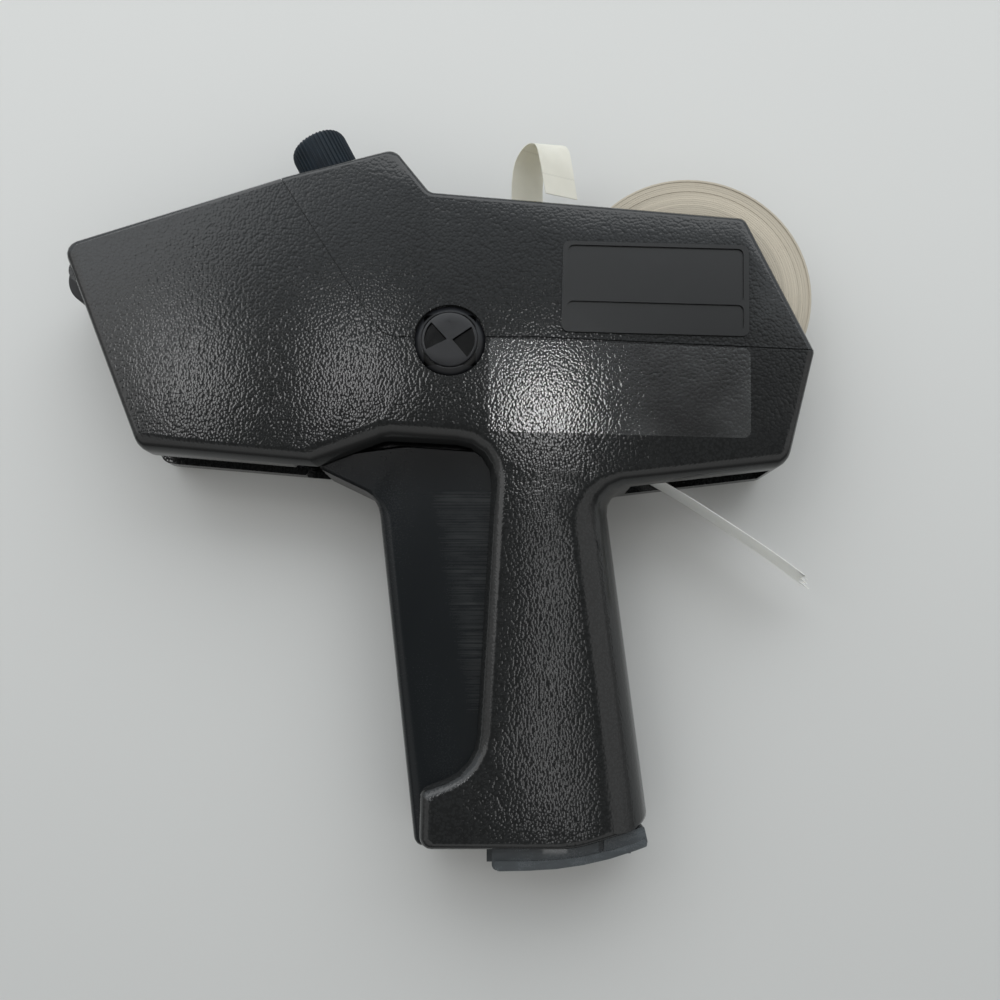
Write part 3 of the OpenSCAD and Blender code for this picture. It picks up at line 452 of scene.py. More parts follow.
@cache
def finishes():
    """All finishes by name, made at the first use."""
    finish = bpy.context.scene.labeller_finish
    return {
        "shell": grained_plastic("grained_shell", finish.shell, finish),
        "trigger": scratched_plastic("rubbed_trigger", finish.trigger),
        "knob": smooth_plastic("knob_plastic", finish.knob, 0.5, 0.0, (200, 200, 60), shine=0.2),
        "cap": smooth_plastic("cap_plastic", finish.cap, 0.26, 0.4, (90, 260, 120), 0.1),
        "lock": lock_plastic("lock_satin", finish.lock),
        "natural": smooth_plastic("natural_plastic", finish.natural, 0.45),
        "steel": brushed_steel("bright_steel", finish.steel),
        "roller": soft_rubber("roller_rubber", finish.rubber, 0.6),
        "type": soft_rubber("type_rubber", finish.rubber, 0.65),
        "ink": soft_rubber("ink_foam", finish.ink, 0.5),
        "core": soft_rubber("core_board", finish.core, 0.8),
        "roll": wound_paper("wound_paper", finish.roll),
        "label": paper("label_paper", finish.label, 0.62, 0.5),
        "liner": paper("liner_paper", finish.liner, 0.42),
        "film": clear_film("clear_film", finish),
    }


# ---------------- meshes


def mesh_of(build, name):
    """A mesh from a bmesh, which is freed."""
    made = bpy.data.meshes.new(name)
    build.to_mesh(made)
    build.free()
    return made


def joined(meshes, name):
    """One mesh of several, which are removed."""
    build = bmesh.new()
    for mesh in meshes:
        build.from_mesh(mesh)
        bpy.data.meshes.remove(mesh)
    return mesh_of(build, name)


def point_mesh(name, points):
    """A mesh of loose points."""
    made = bpy.data.meshes.new(name)
    made.from_pydata(points, [], [])
    return made


def new_object(name, data):
    """An object in the scene, at the origin."""
    made = bpy.data.objects.new(name, data)
    bpy.context.scene.collection.objects.link(made)
    return made


def discard(made):
    """Removes a helper object and its mesh."""
    data = made.data
    bpy.data.objects.remove(made)
    bpy.data.meshes.remove(data)


def shade_by_angle(mesh, degrees=35):
    """Smooth shading that keeps the edges sharper than an angle."""
    given = mesh.attributes.get("custom_normal")
    if given is not None:
        mesh.attributes.remove(given)
    mesh.shade_smooth()
    mesh.set_sharp_from_angle(angle=math.radians(degrees))


def merged_node(node, flat=False):
    """A copy of a CAD node's mesh with its loose triangles joined up."""
    build = bmesh.new()
    build.from_mesh(frame["nodes"][node].data)
    bmesh.ops.remove_doubles(build, verts=build.verts, dist=2e-6)
    if flat:
        bmesh.ops.dissolve_limit(build, angle_limit=math.radians(0.6), verts=build.verts, edges=build.edges)
    return mesh_of(build, node + "_form")


def add_piece(name, mesh, body, finish, nodes=()):
    """Puts a finished mesh in the scene, riding on a body and standing for its CAD nodes."""
    made = new_object(name, mesh)
    mesh.materials.clear()
    mesh.materials.append(finishes()[finish])
    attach(made, body)
    if nodes:
        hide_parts(*nodes)
    return made


def soften_edges(made, width, degrees=40):
    """A small rounding on the hard edges of a moulded or turned piece."""
    bevel = made.modifiers.new("edge_rounding", "BEVEL")
    bevel.width = width
    bevel.segments = 2
    bevel.limit_method = "ANGLE"
    bevel.angle_limit = math.radians(degrees)
    bevel.harden_normals = True


def dress_node(node, body, slot, finish, edge=0.0, extra=None):
    """Stands a smooth copy in for a CAD node, with its edges rounded or its flat faces kept flat."""
    mesh = merged_node(node, flat=edge > 0)
    if extra is not None:
        mesh = joined([mesh, extra], node + "_joined")
    shade_by_angle(mesh)
    made = add_piece(node + "_piece", mesh, body, finish, [node])
    if edge > 0:
        soften_edges(made, edge)
    else:
        made.modifiers.new("even_normals", "WEIGHTED_NORMAL").keep_sharp = True


def skinned(rings, name):
    """A closed mesh over rings of points, with a face at each end."""
    build = bmesh.new()
    rows = [[build.verts.new(point) for point in ring] for ring in rings]
    build.faces.new(rows[0][::-1])
    build.faces.new(rows[-1])
    for low, high in zip(rows, rows[1:]):
        for i in range(len(low)):
            j = (i + 1) % len(low)
            build.faces.new((low[i], low[j], high[j], high[i]))
    bmesh.ops.recalc_face_normals(build, faces=build.faces)
    return mesh_of(build, name)


def prism(outline, low, high, name):
    """A closed prism over a flat outline, between two heights."""
    return skinned([[(x, y, height) for x, y in outline] for height in (low, high)], name)


def turned(profile, steps, name):
    """A closed solid from a profile of (radius, height) turned about Z, both ends on the axis."""
    build = bmesh.new()
    rings = []
    for radius, height in profile:
        angles = [2 * math.pi * i / steps for i in range(steps if radius > 0 else 1)]
        rings.append([build.verts.new((radius * math.cos(a), radius * math.sin(a), height)) for a in angles])
    for low, high in zip(rings, rings[1:]):
        for i in range(steps):
            j = (i + 1) % steps
            corners = [low[i % len(low)], low[j % len(low)], high[j % len(high)], high[i % len(high)]]
            face = list(dict.fromkeys(corners))
            if len(face) > 2:
                build.faces.new(face)
    bmesh.ops.recalc_face_normals(build, faces=build.faces)
    return mesh_of(build, name)


def evaluated_mesh(made):
    """The mesh that an object's modifiers give; the object is then removed."""
    graph = bpy.context.evaluated_depsgraph_get()
    mesh = bpy.data.meshes.new_from_object(made.evaluated_get(graph), depsgraph=graph)
    discard(made)
    return mesh


def carve(mesh, cutters):
    """A mesh with other closed meshes cut out of it."""
    block = new_object("carve_block", mesh)
    tools = [new_object("carve_tool", cutter) for cutter in cutters]
    for tool in tools:
        cut = block.modifiers.new("cut", "BOOLEAN")
        cut.operation = "DIFFERENCE"
        cut.solver = "EXACT"
        cut.object = tool
    bpy.context.view_layer.update()
    made = evaluated_mesh(block)
    for tool in tools:
        discard(tool)
    return made


def spline(points, steps):
    """A smooth line through points."""
    line = []
    last = len(points) - 1
    for i in range(last):
        a, b, c, d = points[max(i - 1, 0)], points[i], points[i + 1], points[min(i + 2, last)]
        square, cube = 2 * a - 5 * b + 4 * c - d, 3 * b - a - 3 * c + d
        for k in range(steps + (i == last - 1)):
            t = k / steps
            line.append(0.5 * (2 * b + (c - a) * t + square * t**2 + cube * t**3))
    return line


def closed_sheet(name, low, high, where, degrees):
    """A thin closed sheet between two grids of points; where gives each point's place on its map."""
    build = bmesh.new()
    uv = build.loops.layers.uv.new("web")
    low, high = [[[build.verts.new(point) for point in row] for row in grid] for grid in (low, high)]
    places = {vert: place for grid in (low, high) for verts, row in zip(grid, where) for vert, place in zip(verts, row)}
    last, columns = len(low) - 1, len(low[0]) - 1
    for i in range(last):
        for k in range(columns):
            build.faces.new((low[i][k], low[i + 1][k], low[i + 1][k + 1], low[i][k + 1]))
            build.faces.new((high[i][k], high[i][k + 1], high[i + 1][k + 1], high[i + 1][k]))
        for k in (0, columns):
            build.faces.new((low[i][k], high[i][k], high[i + 1][k], low[i + 1][k]))
    for i in (0, last):
        for k in range(columns):
            build.faces.new((low[i][k], low[i][k + 1], high[i][k + 1], high[i][k]))
    bmesh.ops.recalc_face_normals(build, faces=build.faces)
    for face in build.faces:
        for loop in face.loops:
            loop[uv].uv = places[loop.vert]
    mesh = mesh_of(build, name)
    shade_by_angle(mesh, degrees)
    return mesh


def web_mesh(name, line, across, thick, columns=8, ragged=0.0):
    """A strip of paper along a line, mapped in metres, with a torn far end if ragged; its length comes with it."""
    width = WEB_WIDTH * MM
    low, high, where = [], [], []
    travel = 0.0
    last = len(line) - 1
    shares = [k / columns - 0.5 for k in range(columns + 1)]
    for i, point in enumerate(line):
        if i:
            travel += (point - line[i - 1]).length
        along = (line[min(i + 1, last)] - line[max(i - 1, 0)]).normalized()
        out = along.cross(across[i].normalized()).normalized()
        side = out.cross(along).normalized()
        for sheet, sign in ((low, -1), (high, 1)):
            row = [point + side * width * share + out * sign * thick / 2 for share in shares]
            if i == last and ragged:
                for k, share in enumerate(shares):
                    tear = math.sin(k * 2.3 + 0.7) * 0.5 + math.sin(k * 5.1) * 0.3
                    row[k] = row[k] + along * ragged * (tear + 1.6 * share)
            sheet.append(row)
        where.append([(share * width, travel) for share in shares])
    return closed_sheet(name, low, high, where, 40), travel


# ---------------- geometry nodes


def new_tree(name):
    """An empty geometry tree as a Shade, and the geometry that comes in."""
    tree = bpy.data.node_groups.new(name, "GeometryNodeTree")
    for way in ("INPUT", "OUTPUT"):
        tree.interface.new_socket(name="Geometry", in_out=way, socket_type="NodeSocketGeometry")
    root = Shade(tree)
    return root, root.node("NodeGroupInput")


def run_tree(result, mesh):
    """The plain mesh that a tree with this result makes of a mesh; the tree is then removed."""
    real = result.node("GeometryNodeRealizeInstances", {"Geometry": result})
    real.node("NodeGroupOutput", {0: real})
    carrier = new_object("tree_run", mesh)
    carrier.modifiers.new("shape", "NODES").node_group = result.tree
    bpy.context.view_layer.update()
    made = evaluated_mesh(carrier)
    bpy.data.node_groups.remove(result.tree)
    return made


def place_copies(template, places):
    """One mesh of a template at places of (point, angle), each copy turned about Z by its angle."""
    points = point_mesh("copy_points", [tuple(point) for point, angle in places])
    turns = points.attributes.new("turn", "FLOAT", "POINT")
    turns.data.foreach_set("value", [angle for point, angle in places])
    source = new_object("copy_template", template)
    root, given = new_tree("placed_copies")
    shape = root.node("GeometryNodeObjectInfo", {"Object": source}, "Geometry")
    angle = root.node("GeometryNodeInputNamedAttribute", {"Name": "turn"}, data_type="FLOAT")
    sockets = {"Points": given, "Instance": shape, "Rotation": root.vector(Z=angle)}
    mesh = run_tree(root.node("GeometryNodeInstanceOnPoints", sockets), points)
    discard(source)
    return mesh


def wound_mesh(turns, inner, outer, per_turn, thick, width=0.0, rise=0.0, slip=0.0):
    """A spiral with its own profile: a flat web whose outer turns have slipped or, with no width, a round wire."""
    root, given = new_tree("wound_spiral")
    line = root.node("GeometryNodeCurveSpiral", {
        "Resolution": per_turn,
        "Rotations": turns,
        "Start Radius": inner,
        "End Radius": outer,
        "Height": rise,
        "Reverse": width > 0,
    })
    if width > 0:
        place = root.node("GeometryNodeInputPosition")
        far = root.node("ShaderNodeVectorMath", {0: place}, "Value", operation="LENGTH")
        uneven = root.vector(X=far * 1300.0, Y=4.0).noise(1.0, 1.0)
        loose = far.rise(ROLL_RADIUS * MM - 0.006, ROLL_RADIUS * MM - 0.002) * 0.88 + 0.12
        shift = (uneven - 0.5) * loose * slip
        line = root.node("GeometryNodeSetPosition", {"Geometry": line, "Offset": root.vector(Z=shift)})
        profile = root.node("GeometryNodeCurvePrimitiveQuadrilateral", {"Width": thick, "Height": width})
    else:
        profile = root.node("GeometryNodeCurvePrimitiveCircle", {"Resolution": 10, "Radius": thick})
    sockets = {"Curve": line, "Profile Curve": profile, "Fill Caps": True}
    return run_tree(root.node("GeometryNodeCurveToMesh", sockets), point_mesh("wound_seed", [(0, 0, 0)]))


# ---------------- pieces


class Step:
    """Builds an operator's pieces: as they are, the CAD nodes that it lists as dress_node() takes them."""

    parts = ()

    def execute(self, context):
        self.build(context.scene)
        return {"FINISHED"}

    def build(self, scene):
        for part in self.parts:
            dress_node(*part)


class LABELLER_OT_shells(Step, Operator):
    """Grained housing: two body shells and two top covers."""

    bl_idname = "labeller.shells"
    bl_label = "Body shells and top covers"
    seam_start = Vector((-18.7, 0.95))
    seam_lean = math.radians(32.6)
    tongue_span, tongue_half, tongue_depth = (2.0, 56.0), 0.17, (13.9, 14.6)

    def build(self, scene):
        for side, sign in (("left", 1), ("right", -1)):
            dress_node(side + "_body_shell", "housing", "shell", "shell")
            dress_node(side + "_top_cover", "housing", "cover", "shell", extra=self.tongue(sign))

    def tongue(self, sign):
        """The cover's thin tongue that closes the seam from inside."""
        along = Vector((-math.sin(self.seam_lean), math.cos(self.seam_lean)))
        side = Vector((along.y, -along.x)) * self.tongue_half
        near, far = [self.seam_start + along * span for span in self.tongue_span]
        low, high = sorted(sign * depth for depth in self.tongue_depth)
        mesh = prism([near + side, far + side, far - side, near - side], low, high, "seam_tongue")
        mesh.transform(FROM_LOCK)
        return mesh


class LABELLER_OT_sticker(Step, Operator):
    """Clear film under the seam, laid on the left body shell."""

    bl_idname = "labeller.sticker"
    bl_label = "Clear sticker"
    corners = ((10.8, -26.0), (83.4, -28.0), (84.2, -2.4), (11.0, 0.6))
    round_corner = 2.0
    columns, rows = 72, 26
    gap = 0.00001

    def build(self, scene):
        thick = scene.labeller_size.film
        shell = bpy.data.objects["left_body_shell_piece"].data
        tree = BVHTree.FromPolygons(
            [v.co.copy() for v in shell.vertices], [list(p.vertices) for p in shell.polygons]
        )
        low_left, low_right, top_right, top_left = [Vector(corner) for corner in self.corners]
        size = Vector(((low_right - low_left).length, (top_left - low_left).length))
        low, where = [], []
        for i in range(self.columns + 1):
            where.append([self.rounded(i / self.columns, k / self.rows, size) for k in range(self.rows + 1)])
            low.append([])
            for u, v in where[i]:
                flat = (low_left * (1 - u) + low_right * u) * (1 - v) + (top_left * (1 - u) + top_right * u) * v
                hit = tree.ray_cast(spot(flat.x, flat.y, 30), Vector((0, 0, -1)))[0]
                if hit is None:
                    raise RuntimeError("the sticker misses the left body shell")
                low[i].append(hit + Vector((0, 0, self.gap)))
        high = [[point + Vector((0, 0, thick)) for point in row] for row in low]
        mesh = closed_sheet("sticker_film", low, high, where, 50)
        add_piece("clear_sticker", mesh, "housing", "film")

    def rounded(self, u, v, size):
        """Pulls the grid's border in round the four corners."""
        x, y = u * size.x, v * size.y
        r = self.round_corner
        for cy, sy in ((r, -1), (size.y - r, 1)):
            for cx, sx in ((r, -1), (size.x - r, 1)):
                dx, dy = (x - cx) * sx, (y - cy) * sy
                if dx > 0 and dy > 0:
                    grow = max(dx, dy) / math.hypot(dx, dy)
                    x, y = cx + sx * dx * grow, cy + sy * dy * grow
        return x / size.x, y / size.y


class LABELLER_OT_lock(Step, Operator):
    """Quarter-turn lock with a flange, a groove and a two-winged finger recess."""

    bl_idname = "labeller.lock"
    bl_label = "Cover lock"
    profile = (
        (0, 14.8), (9.8, 14.8), (9.95, 14.9), (9.95, 15.1), (9.8, 15.3), (8.25, 16.4), (8.05, 16.4), (8.0, 16.15),
        (7.85, 16.15), (7.8, 16.65), (7.65, 16.82), (7.4, 16.88), (5.0, 16.92), (0, 16.95),
    )
    wings = ((-50.0, 31.0), (132.0, 204.0))
    wing_radius, wing_steps = 7.1, 14
    wing_floor, wing_top = 15.92, 18.5
    ridge = 0.5
    shank_foot, lug_top = 10.9, 13.5

    def build(self, scene):
        head = turned(self.profile, 128, "lock_head")
        carved = carve(head, [self.wing(*span) for span in self.wings])
        mesh = joined([carved, *self.shank()], "lock_form")
        mesh.transform(FROM_LOCK)
        shade_by_angle(mesh, 30)
        made = add_piece("cover_lock_piece", mesh, "lock_body", "lock", ["cover_lock"])
        soften_edges(made, 0.00012, 30)

    def wing(self, start, end):
        """A wedge that leaves a ridge standing between the two wings."""
        first = math.radians(start)
        along = Vector((math.cos(first), math.sin(first)))
        across = Vector((-along.y, along.x))
        reach = math.sqrt(self.wing_radius**2 - self.ridge**2)
        outline = [along * 0.5 + across * self.ridge, along * reach + across * self.ridge]
        begin = math.atan2(outline[1].dot(across), outline[1].dot(along))
        stop = math.radians(end - start)
        for i in range(1, self.wing_steps + 1):
            a = begin + (stop - begin) * i / self.wing_steps
            outline.append((along * math.cos(a) + across * math.sin(a)) * self.wing_radius)
        return prism(outline, self.wing_floor, self.wing_top, "lock_wing")

    def shank(self):
        """Hollow shank and lugs under the head."""
        foot = self.shank_foot
        line = ((0, 15.8), (3.06, 15.8), (3.06, foot), (4.1, foot), (4.1, 15.88), (0, 15.88))
        made = [turned(line, 64, "lock_shank")]
        for near, far in ((-6.4, -3.6), (3.6, 6.4)):
            outline = ((near, -2), (far, -2), (far, 2), (near, 2))
            made.append(prism(outline, foot, self.lug_top, "lock_lug"))
        return made


class LABELLER_OT_knob(Step, Operator):
    """Ribbed selector knob: a turned body with ribs set round it."""

    bl_idname = "labeller.knob"
    bl_label = "Selector knob"
    ridge_line = (
        (8.25, 0.35), (8.6, 1.0), (8.6, 16.6), (8.52, 17.5), (8.28, 18.25), (7.85, 18.85), (7.25, 19.25), (6.6, 19.42),
    )
    half_rib = 0.36
    sunk = 0.55
    foot = 58.8

    def build(self, scene):
        valley = [(r - self.sunk + 0.1, h) for r, h in self.ridge_line]
        bore = [(0, 12.0), (2.56, 12.0), (2.56, 0.0), (7.6, 0.0)]
        dish = [(5.2, 19.3), (4.9, 19.15), (0, 19.25)]
        body = turned([(r * MM, h * MM) for r, h in bore + valley + dish], 80, "knob_body_form")
        count = scene.labeller_size.knob_ribs
        ribs = place_copies(self.rib(), [((0, 0, 0), 2 * math.pi * i / count) for i in range(count)])
        mesh = joined([body, ribs], "knob_form")
        mesh.transform(head_matrix(KNOB_ALONG, self.foot))
        shade_by_angle(mesh, 42)
        add_piece("selector_knob_piece", mesh, "knob_body", "knob", ["selector_knob"])

    def rib(self):
        """One rounded rib that runs up the side and over the shoulder."""
        section = ((-1.0, -self.sunk), (-0.62, -0.12), (0.0, 0.0), (0.62, -0.12), (1.0, -self.sunk))
        rings = []
        for i, (radius, height) in enumerate(self.ridge_line):
            half = self.half_rib * (1 - 0.5 * max(0, i - 2) / (len(self.ridge_line) - 3))
            rings.append([((radius + drop) * MM, side * half * MM, height * MM) for side, drop in section])
        return skinned(rings, "knob_rib")


class LABELLER_OT_trigger(Step, Operator):
    """Black trigger channel with its rub marks."""

    bl_idname = "labeller.trigger"
    bl_label = "Trigger"
    parts = (("trigger", "trigger_body", "trigger", "trigger"),)


class LABELLER_OT_end_cap(Step, Operator):
    """Grey plug in the handle's foot."""

    bl_idname = "labeller.end_cap"
    bl_label = "Handle end cap"
    parts = (("handle_end_cap", "cap_body", "cap", "cap", 0.0002),)


class LABELLER_OT_roll(Step, Operator):
    """Wound label roll, its board core and the hub under it."""

    bl_idname = "labeller.roll"
    bl_label = "Label roll and core"
    inner = 14.2

    def build(self, scene):
        sizes = scene.labeller_size
        pitch = (ROLL_RADIUS - self.inner) / sizes.roll_turns
        mesh = wound_mesh(
            sizes.roll_turns, (self.inner + pitch / 2) * MM, (ROLL_RADIUS - pitch / 2) * MM, 84,
            thick=(pitch - 0.06) * MM, width=(WEB_WIDTH - 0.2) * MM, slip=sizes.roll_slip * 2.6,
        )
        mesh.transform(Matrix.Translation(ROLL_AXIS) @ Matrix.Rotation(math.pi, 4, "Z"))
        shade_by_angle(mesh, 40)
        add_piece("label_roll_piece", mesh, "roll_body", "roll", ["label_roll"])
        dress_node("roll_core", "roll_body", "core", "core", 0.00012)
        dress_node("roll_hub", "housing", "natural", "natural", 0.0003)


class LABELLER_OT_webs(Step, Operator):
    """Free end of the label web, curled out of the open top, and the torn liner behind the handle."""

    bl_idname = "labeller.webs"
    bl_label = "Label web and liner"
    width = WEB_WIDTH
    off_roll = 0.475
    strip_steps = (
        (0, 0, 0), (-2.4, 10, 0), (-7.5, 18, -1), (-10.6, 26, -2.2), (-11.6, 35, -2.5), (-10.6, 43.6, -1.2),
        (-7.6, 47.4, 2.6), (-4.6, 45.2, 7), (-3.2, 38, 9.2), (-1.9, 28.4, 9.6),
    )
    strip_turn = Vector((0.78, 0.23, -0.57))
    tail_along = Vector((0.833, -0.553, 0)).normalized()
    tail_length, tail_steps, tear = 57.0, 48, 0.003
    down = Vector((0, 0, -1))

    def build(self, scene):
        thick = scene.labeller_size.paper
        begin = ROLL_AXIS + Vector((-ROLL_RADIUS - self.off_roll, 0, 0)) * MM
        line = spline([begin + Vector(step) * MM for step in self.strip_steps], 12)
        across = []
        for i in range(len(line)):
            share = min(max((i / (len(line) - 1) - 0.1) / 0.25, 0), 1)
            share = share * share * (3 - 2 * share)
            across.append(self.down * (1 - share) + self.strip_turn * share)
        mesh, travel = web_mesh("strip_form", line, across, thick)
        strip = add_piece("label_strip_piece", mesh, "housing", "label", ["label_strip"])

        side = Vector((-self.tail_along.y, self.tail_along.x, 0))
        low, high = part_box("liner_tail")
        middle = (low.z + high.z) / 2
        tip = Vector((low.x, high.y, middle)) + self.tail_along * 0.0002
        line = []
        for i in range(self.tail_steps + 1):
            share = i / self.tail_steps
            bow = 1.2 * math.sin(math.pi * share) + 0.12 * math.sin(9 * share)
            line.append(tip + (self.tail_along * self.tail_length * share + side * bow) * MM)
        mesh, travel = web_mesh("liner_form", line, [self.down] * len(line), thick, 16, self.tear)
        liner = add_piece("liner_tail_piece", mesh, "housing", "liner", ["liner_tail"])


class LABELLER_OT_rollers(Step, Operator):
    """Rubber, foam and plastic rollers of the label path."""

    bl_idname = "labeller.rollers"
    bl_label = "Rollers"
    parts = (
        ("applicator_roller", "applicator_body", "roller", "roller", 0.0006),
        ("pinch_roller", "pinch_body", "roller", "roller", 0.0003),
        ("ink_roller", "ink_roller_body", "ink", "ink", 0.0005),
        ("feed_wheel", "feed_body", "natural", "natural", 0.0003),
    )


class LABELLER_OT_type_bands(Step, Operator):
    """Type bands with a blank pad at every setting."""

    bl_idname = "labeller.type_bands"
    bl_label = "Type bands"
    count, pitch, bottom, band_w = 6, 3.3, 14.225, 2.9
    wheel_r, nose_r, band_t = 8.3, 2.5, 1.0
    reach = 36.0
    arc_steps = 48
    pad_levels = ((-0.3, 1.0, 1.1), (0.12, 1.0, 1.1), (0.28, 0.8, 0.9))

    def build(self, scene):
        bands = merged_node("type_bands")
        to_head = head_matrix(KNOB_ALONG, 0)
        bands.transform(to_head.inverted())
        places = []
        for band in range(self.count):
            height = (self.bottom + band * self.pitch + self.band_w / 2) * MM
            for point, angle in self.loop(scene.labeller_size.pads):
                places.append((Vector((point.x, point.y, height)), angle))
        mesh = joined([bands, place_copies(self.pad(), places)], "type_band_form")
        mesh.transform(to_head)
        shade_by_angle(mesh)
        add_piece("type_bands_piece", mesh, "carriage_body", "type", ["type_bands"])

    def pad(self):
        """A low block with its outer edges drawn in, standing on X."""
        signs = ((-1, -1), (1, -1), (1, 1), (-1, 1))
        return skinned(
            [[(x * MM, a * half_y * MM, b * half_z * MM) for a, b in signs] for x, half_y, half_z in self.pad_levels],
            "type_pad",
        )

    def loop(self, count):
        """Evenly spaced points on the outer face of a band, with their outward angles."""
        big, small, far = self.wheel_r + self.band_t, self.nose_r + self.band_t, self.reach
        lean = math.asin((big - small) / far)
        arcs = (
            (0.0, big, -math.pi / 2 - lean, math.pi + 2 * lean),
            (-far, small, math.pi / 2 + lean, math.pi - 2 * lean),
        )
        line = []
        for centre, radius, start, sweep in arcs:
            for i in range(self.arc_steps + 1):
                a = start + sweep * i / self.arc_steps
                line.append(Vector((centre + radius * math.cos(a), radius * math.sin(a))))
        line.append(line[0])
        steps = [(b - a).length for a, b in zip(line, line[1:])]
        total, found, passed, k = sum(steps), [], 0.0, 0
        for n in range(count):
            goal = total * n / count
            while passed + steps[k] < goal:
                passed += steps[k]
                k += 1
            along = (line[k + 1] - line[k]).normalized()
            point = line[k].lerp(line[k + 1], (goal - passed) / steps[k]) * MM
            found.append((point, math.atan2(-along.x, along.y)))
        return found


class LABELLER_OT_print_head(Step, Operator):
    """Carriage, band wheels, selector shaft, pinion, ink arm and platen."""

    bl_idname = "labeller.print_head"
    bl_label = "Print head and drive"
    parts = (
        ("print_carriage", "carriage_body", "natural", "natural"),
        ("band_wheels", "carriage_body", "natural", "natural"),
        ("drive_pinion", "pinion_body", "natural", "natural"),
        ("ink_arm", "ink_arm_body", "natural", "natural"),
        ("selector_shaft", "selector_body", "steel", "steel", 0.0003),
        ("platen", "housing", "steel", "steel", 0.0003),
    )


class LABELLER_OT_pins(Step, Operator):
    """Steel pins, axles and shafts."""

    bl_idname = "labeller.pins"
    bl_label = "Pins and axles"
    parts = [
        (node, "housing", "steel", "steel", 0.0002)
        for node in (
            "trigger_pin", "gear_shaft", "peel_bar", "ink_arm_pins", "applicator_axle", "feed_axle", "pinch_axle",
        )
    ]


class LABELLER_OT_screws(Step, Operator):
    """Slotted screws in the right side, all alike."""

    bl_idname = "labeller.screws"
    bl_label = "Housing screws"
    spots = ((-88.0, 29.5, 34.0), (-15.0, 46.0, -21.0), (38.0, -58.0, 77.0), (88.6, -28.0, 8.0))
    profile = ((0, 2.6), (2.7, 2.6), (2.7, 1.25), (2.58, 0.98), (2.3, 0.76), (1.6, 0.64), (0, 0.6))
    slot = ((-0.4, -4), (0.4, -4), (0.4, 4), (-0.4, 4))
    crest, root_r, pitch = 1.38, 1.15, 0.7
    thread_start, thread_end = 12.0, 23.4

    def build(self, scene):
        head = carve(turned(self.profile, 48, "screw_head"), [prism(self.slot, -1.0, 1.4, "screw_slot")])
        screw = joined([head, turned(self.thread(), 24, "screw_shank")], "screw_form")
        screw.transform(Matrix.Scale(MM, 4))
        places = [(spot(x, y, -HALF_BODY), math.radians(turn)) for x, y, turn in self.spots]
        mesh = place_copies(screw, places)
        shade_by_angle(mesh, 30)
        add_piece("housing_screws_piece", mesh, "housing", "steel", ["housing_screws"])

    def thread(self):
        """Shank profile with a thread's crests."""
        height = self.thread_start
        line = [(0, 2.2), (self.crest, 2.2), (self.crest, height)]
        while height < self.thread_end:
            line += [(self.root_r, height + self.pitch / 2), (self.crest, height + self.pitch)]
            height += self.pitch
        return line + [(0.9, 24.4), (0, 24.5)]


class LABELLER_OT_spring(Step, Operator):
    """Return spring behind the trigger, wound to the length of its CAD node; it keeps that length here, though the real
    one shortens as the trigger is squeezed.
    """

    bl_idname = "labeller.spring"
    bl_label = "Trigger spring"
    coils, wire, diameter, squeezed = 8, 0.9, 8.0, 8.4

    def build(self, scene):
        low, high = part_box("trigger_spring")
        reach = high.x - low.x
        radius = self.diameter / 2 * MM
        mesh = wound_mesh(self.coils, radius, radius, 32, self.wire / 2 * MM, rise=reach - self.wire * MM)
        middle = (low + high) / 2
        turn = Matrix.Rotation(math.pi / 2, 4, "Y")
        mesh.transform(Matrix.Translation((low.x + self.wire / 2 * MM, middle.y, middle.z)) @ turn)
        shade_by_angle(mesh, 60)
        made = add_piece("trigger_spring_piece", mesh, "housing", "steel", ["trigger_spring"])
        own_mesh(made)


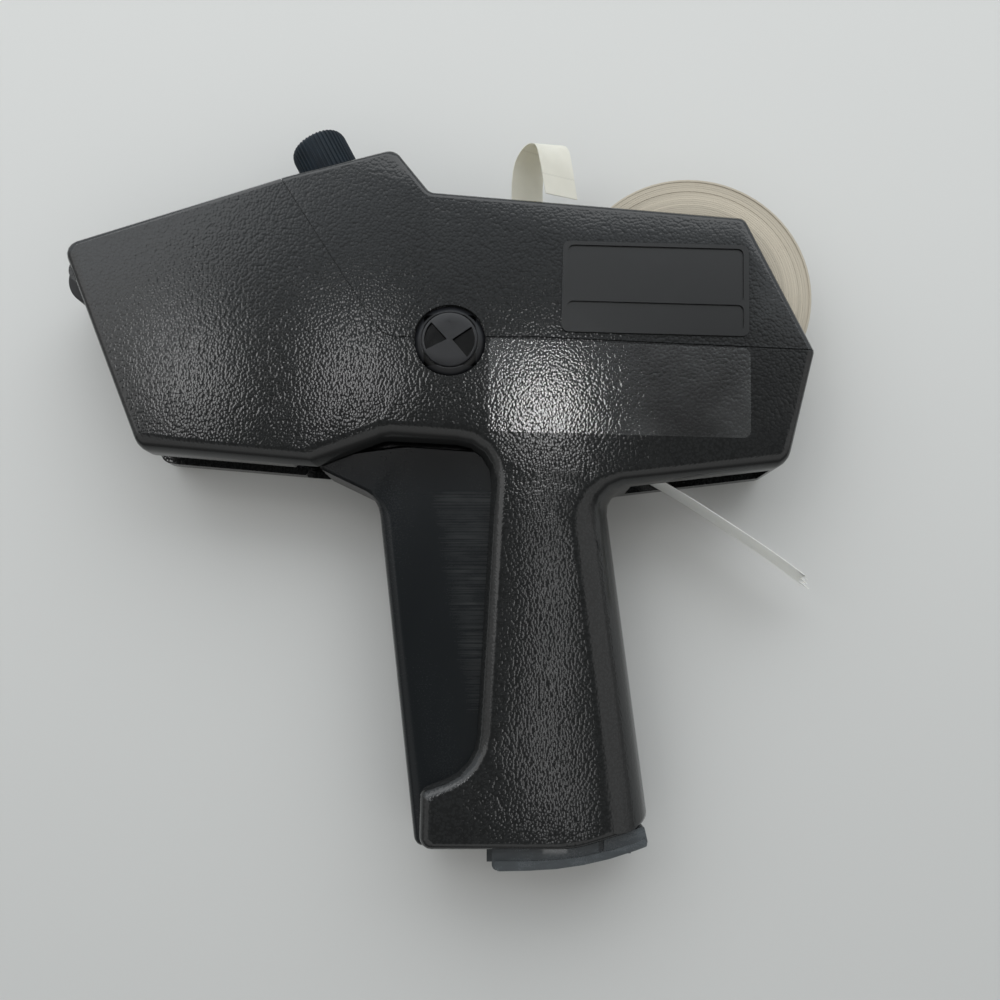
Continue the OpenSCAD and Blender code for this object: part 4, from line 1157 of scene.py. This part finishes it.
class LABELLER_OT_stage(Step, Operator):
    """Pale floor, soft lamps and the camera."""

    bl_idname = "labeller.stage"
    bl_label = "Stage"
    eye = (14.1, -83.37)
    sensor = lens = 36
    panels = (
        (-0.33, 0.23, 0.035, 0.14), (-0.14, 0.23, 0.035, 0.14), (0.065, 0.2, 0.05, 0.1), (0.075, -0.08, 0.025, 0.37),
    )
    panel_height = 0.83
    left_share = 0.3
    floor_reach, floor_drop = 3.0, 0.0002

    def build(self, scene):
        settings = scene.labeller_stage
        self.camera(scene, settings)
        self.floor(settings)
        for number, (x, y, *size) in enumerate(self.panels):
            place = (x, y, self.panel_height)
            self.lamp(f"ceiling_panel_{number}", place, size, settings.panel_power, (x, y, 0))
        self.lamp("wide_lamp", (0.15, 1.25, 1.05), (2.2, 1.1), settings.wide_power, (0, 0.05, 0))
        self.lamp("left_lamp", (-1.0, 0.6, 1.25), (1.2, 1.0), settings.wide_power * self.left_share, (0, 0, 0))
        world = bpy.data.worlds.new("even_light")
        world.use_nodes = True
        self.sky(world.node_tree, settings)
        scene.world = world
        scene.view_settings.view_transform = "Standard"

    def sky(self, tree, settings):
        """A dim ceiling, lighter towards the walls and towards the window side."""
        tree.nodes.clear()
        root = Shade(tree)
        y, z = root.node("ShaderNodeTexCoord", out="Generated").axes("YZ")
        window = y.rise(0.18, 0.42)
        far_side = y.rise(-0.5, 0.1).largest(z.rise(0.3, 0.55) * 0.9 + 0.1)
        walls = z.rise(0.94, 0.86) * (z.rise(0.05, 0.4) * 0.6 + 0.4) * far_side
        light = settings.ceiling + walls * (settings.walls - settings.ceiling) + window * settings.window
        hue = root.mix(window, (1, 1, 0.99, 1), (0.89, 0.95, 1, 1))
        glow = root.node("ShaderNodeBackground", {"Color": hue, "Strength": light})
        root.node("ShaderNodeOutputWorld", {"Surface": glow})

    def camera(self, scene, settings):
        data = bpy.data.cameras.new("photo_camera")
        data.sensor_width = self.sensor
        data.lens = self.lens
        data.clip_start = 0.01
        eye = new_object("photo_camera", data)
        eye.location = spot(*self.eye, HALF_BODY + settings.height / MM)
        eye.rotation_euler = (settings.tilt, 0, 0)
        scene.camera = eye

    def floor(self, settings):
        build = bmesh.new()
        bmesh.ops.create_grid(build, x_segments=8, y_segments=8, size=self.floor_reach)
        mesh = mesh_of(build, "floor_sheet")
        mesh.transform(Matrix.Translation((0, 0, -self.floor_drop)))
        mesh.materials.append(pale_floor("pale_floor", settings.floor))
        sheet = new_object("floor", mesh)

    def lamp(self, name, place, size, power, target):
        data = bpy.data.lights.new(name, "AREA")
        data.shape = "RECTANGLE"
        data.size, data.size_y = size
        data.energy = power
        made = new_object(name, data)
        made.location = place
        aim = Vector(target) - Vector(place)
        made.rotation_euler = aim.to_track_quat("-Z", "Y").to_euler()


STEPS = (
    LABELLER_OT_stage,
    LABELLER_OT_shells,
    LABELLER_OT_sticker,
    LABELLER_OT_lock,
    LABELLER_OT_knob,
    LABELLER_OT_trigger,
    LABELLER_OT_end_cap,
    LABELLER_OT_roll,
    LABELLER_OT_webs,
    LABELLER_OT_rollers,
    LABELLER_OT_type_bands,
    LABELLER_OT_print_head,
    LABELLER_OT_pins,
    LABELLER_OT_screws,
    LABELLER_OT_spring,
)
SETTINGS = {"labeller_finish": LabellerFinish, "labeller_size": LabellerSize, "labeller_stage": LabellerStage}


class LABELLER_PT_pieces(Panel):
    """Lists the labeller's pieces and settings."""

    bl_idname = "LABELLER_PT_pieces"
    bl_label = "Price labeller"
    bl_space_type = "VIEW_3D"
    bl_region_type = "UI"
    bl_category = "Labeller"

    def draw(self, context):
        for step in STEPS:
            self.layout.operator(step.bl_idname)
        for name in SETTINGS:
            group = getattr(context.scene, name)
            box = self.layout.box()
            for key in group.__annotations__:
                box.prop(group, key)


def register():
    for kind in (*SETTINGS.values(), *STEPS, LABELLER_PT_pieces):
        bpy.utils.register_class(kind)
    for name, kind in SETTINGS.items():
        setattr(bpy.types.Scene, name, PointerProperty(type=kind))


def unregister():
    for name in SETTINGS:
        delattr(bpy.types.Scene, name)
    for kind in reversed((*SETTINGS.values(), *STEPS, LABELLER_PT_pieces)):
        bpy.utils.unregister_class(kind)


def main():
    register()
    for step in STEPS:
        group, name = step.bl_idname.split(".")
        getattr(getattr(bpy.ops, group), name)()


if __name__ == "__main__":
    main()
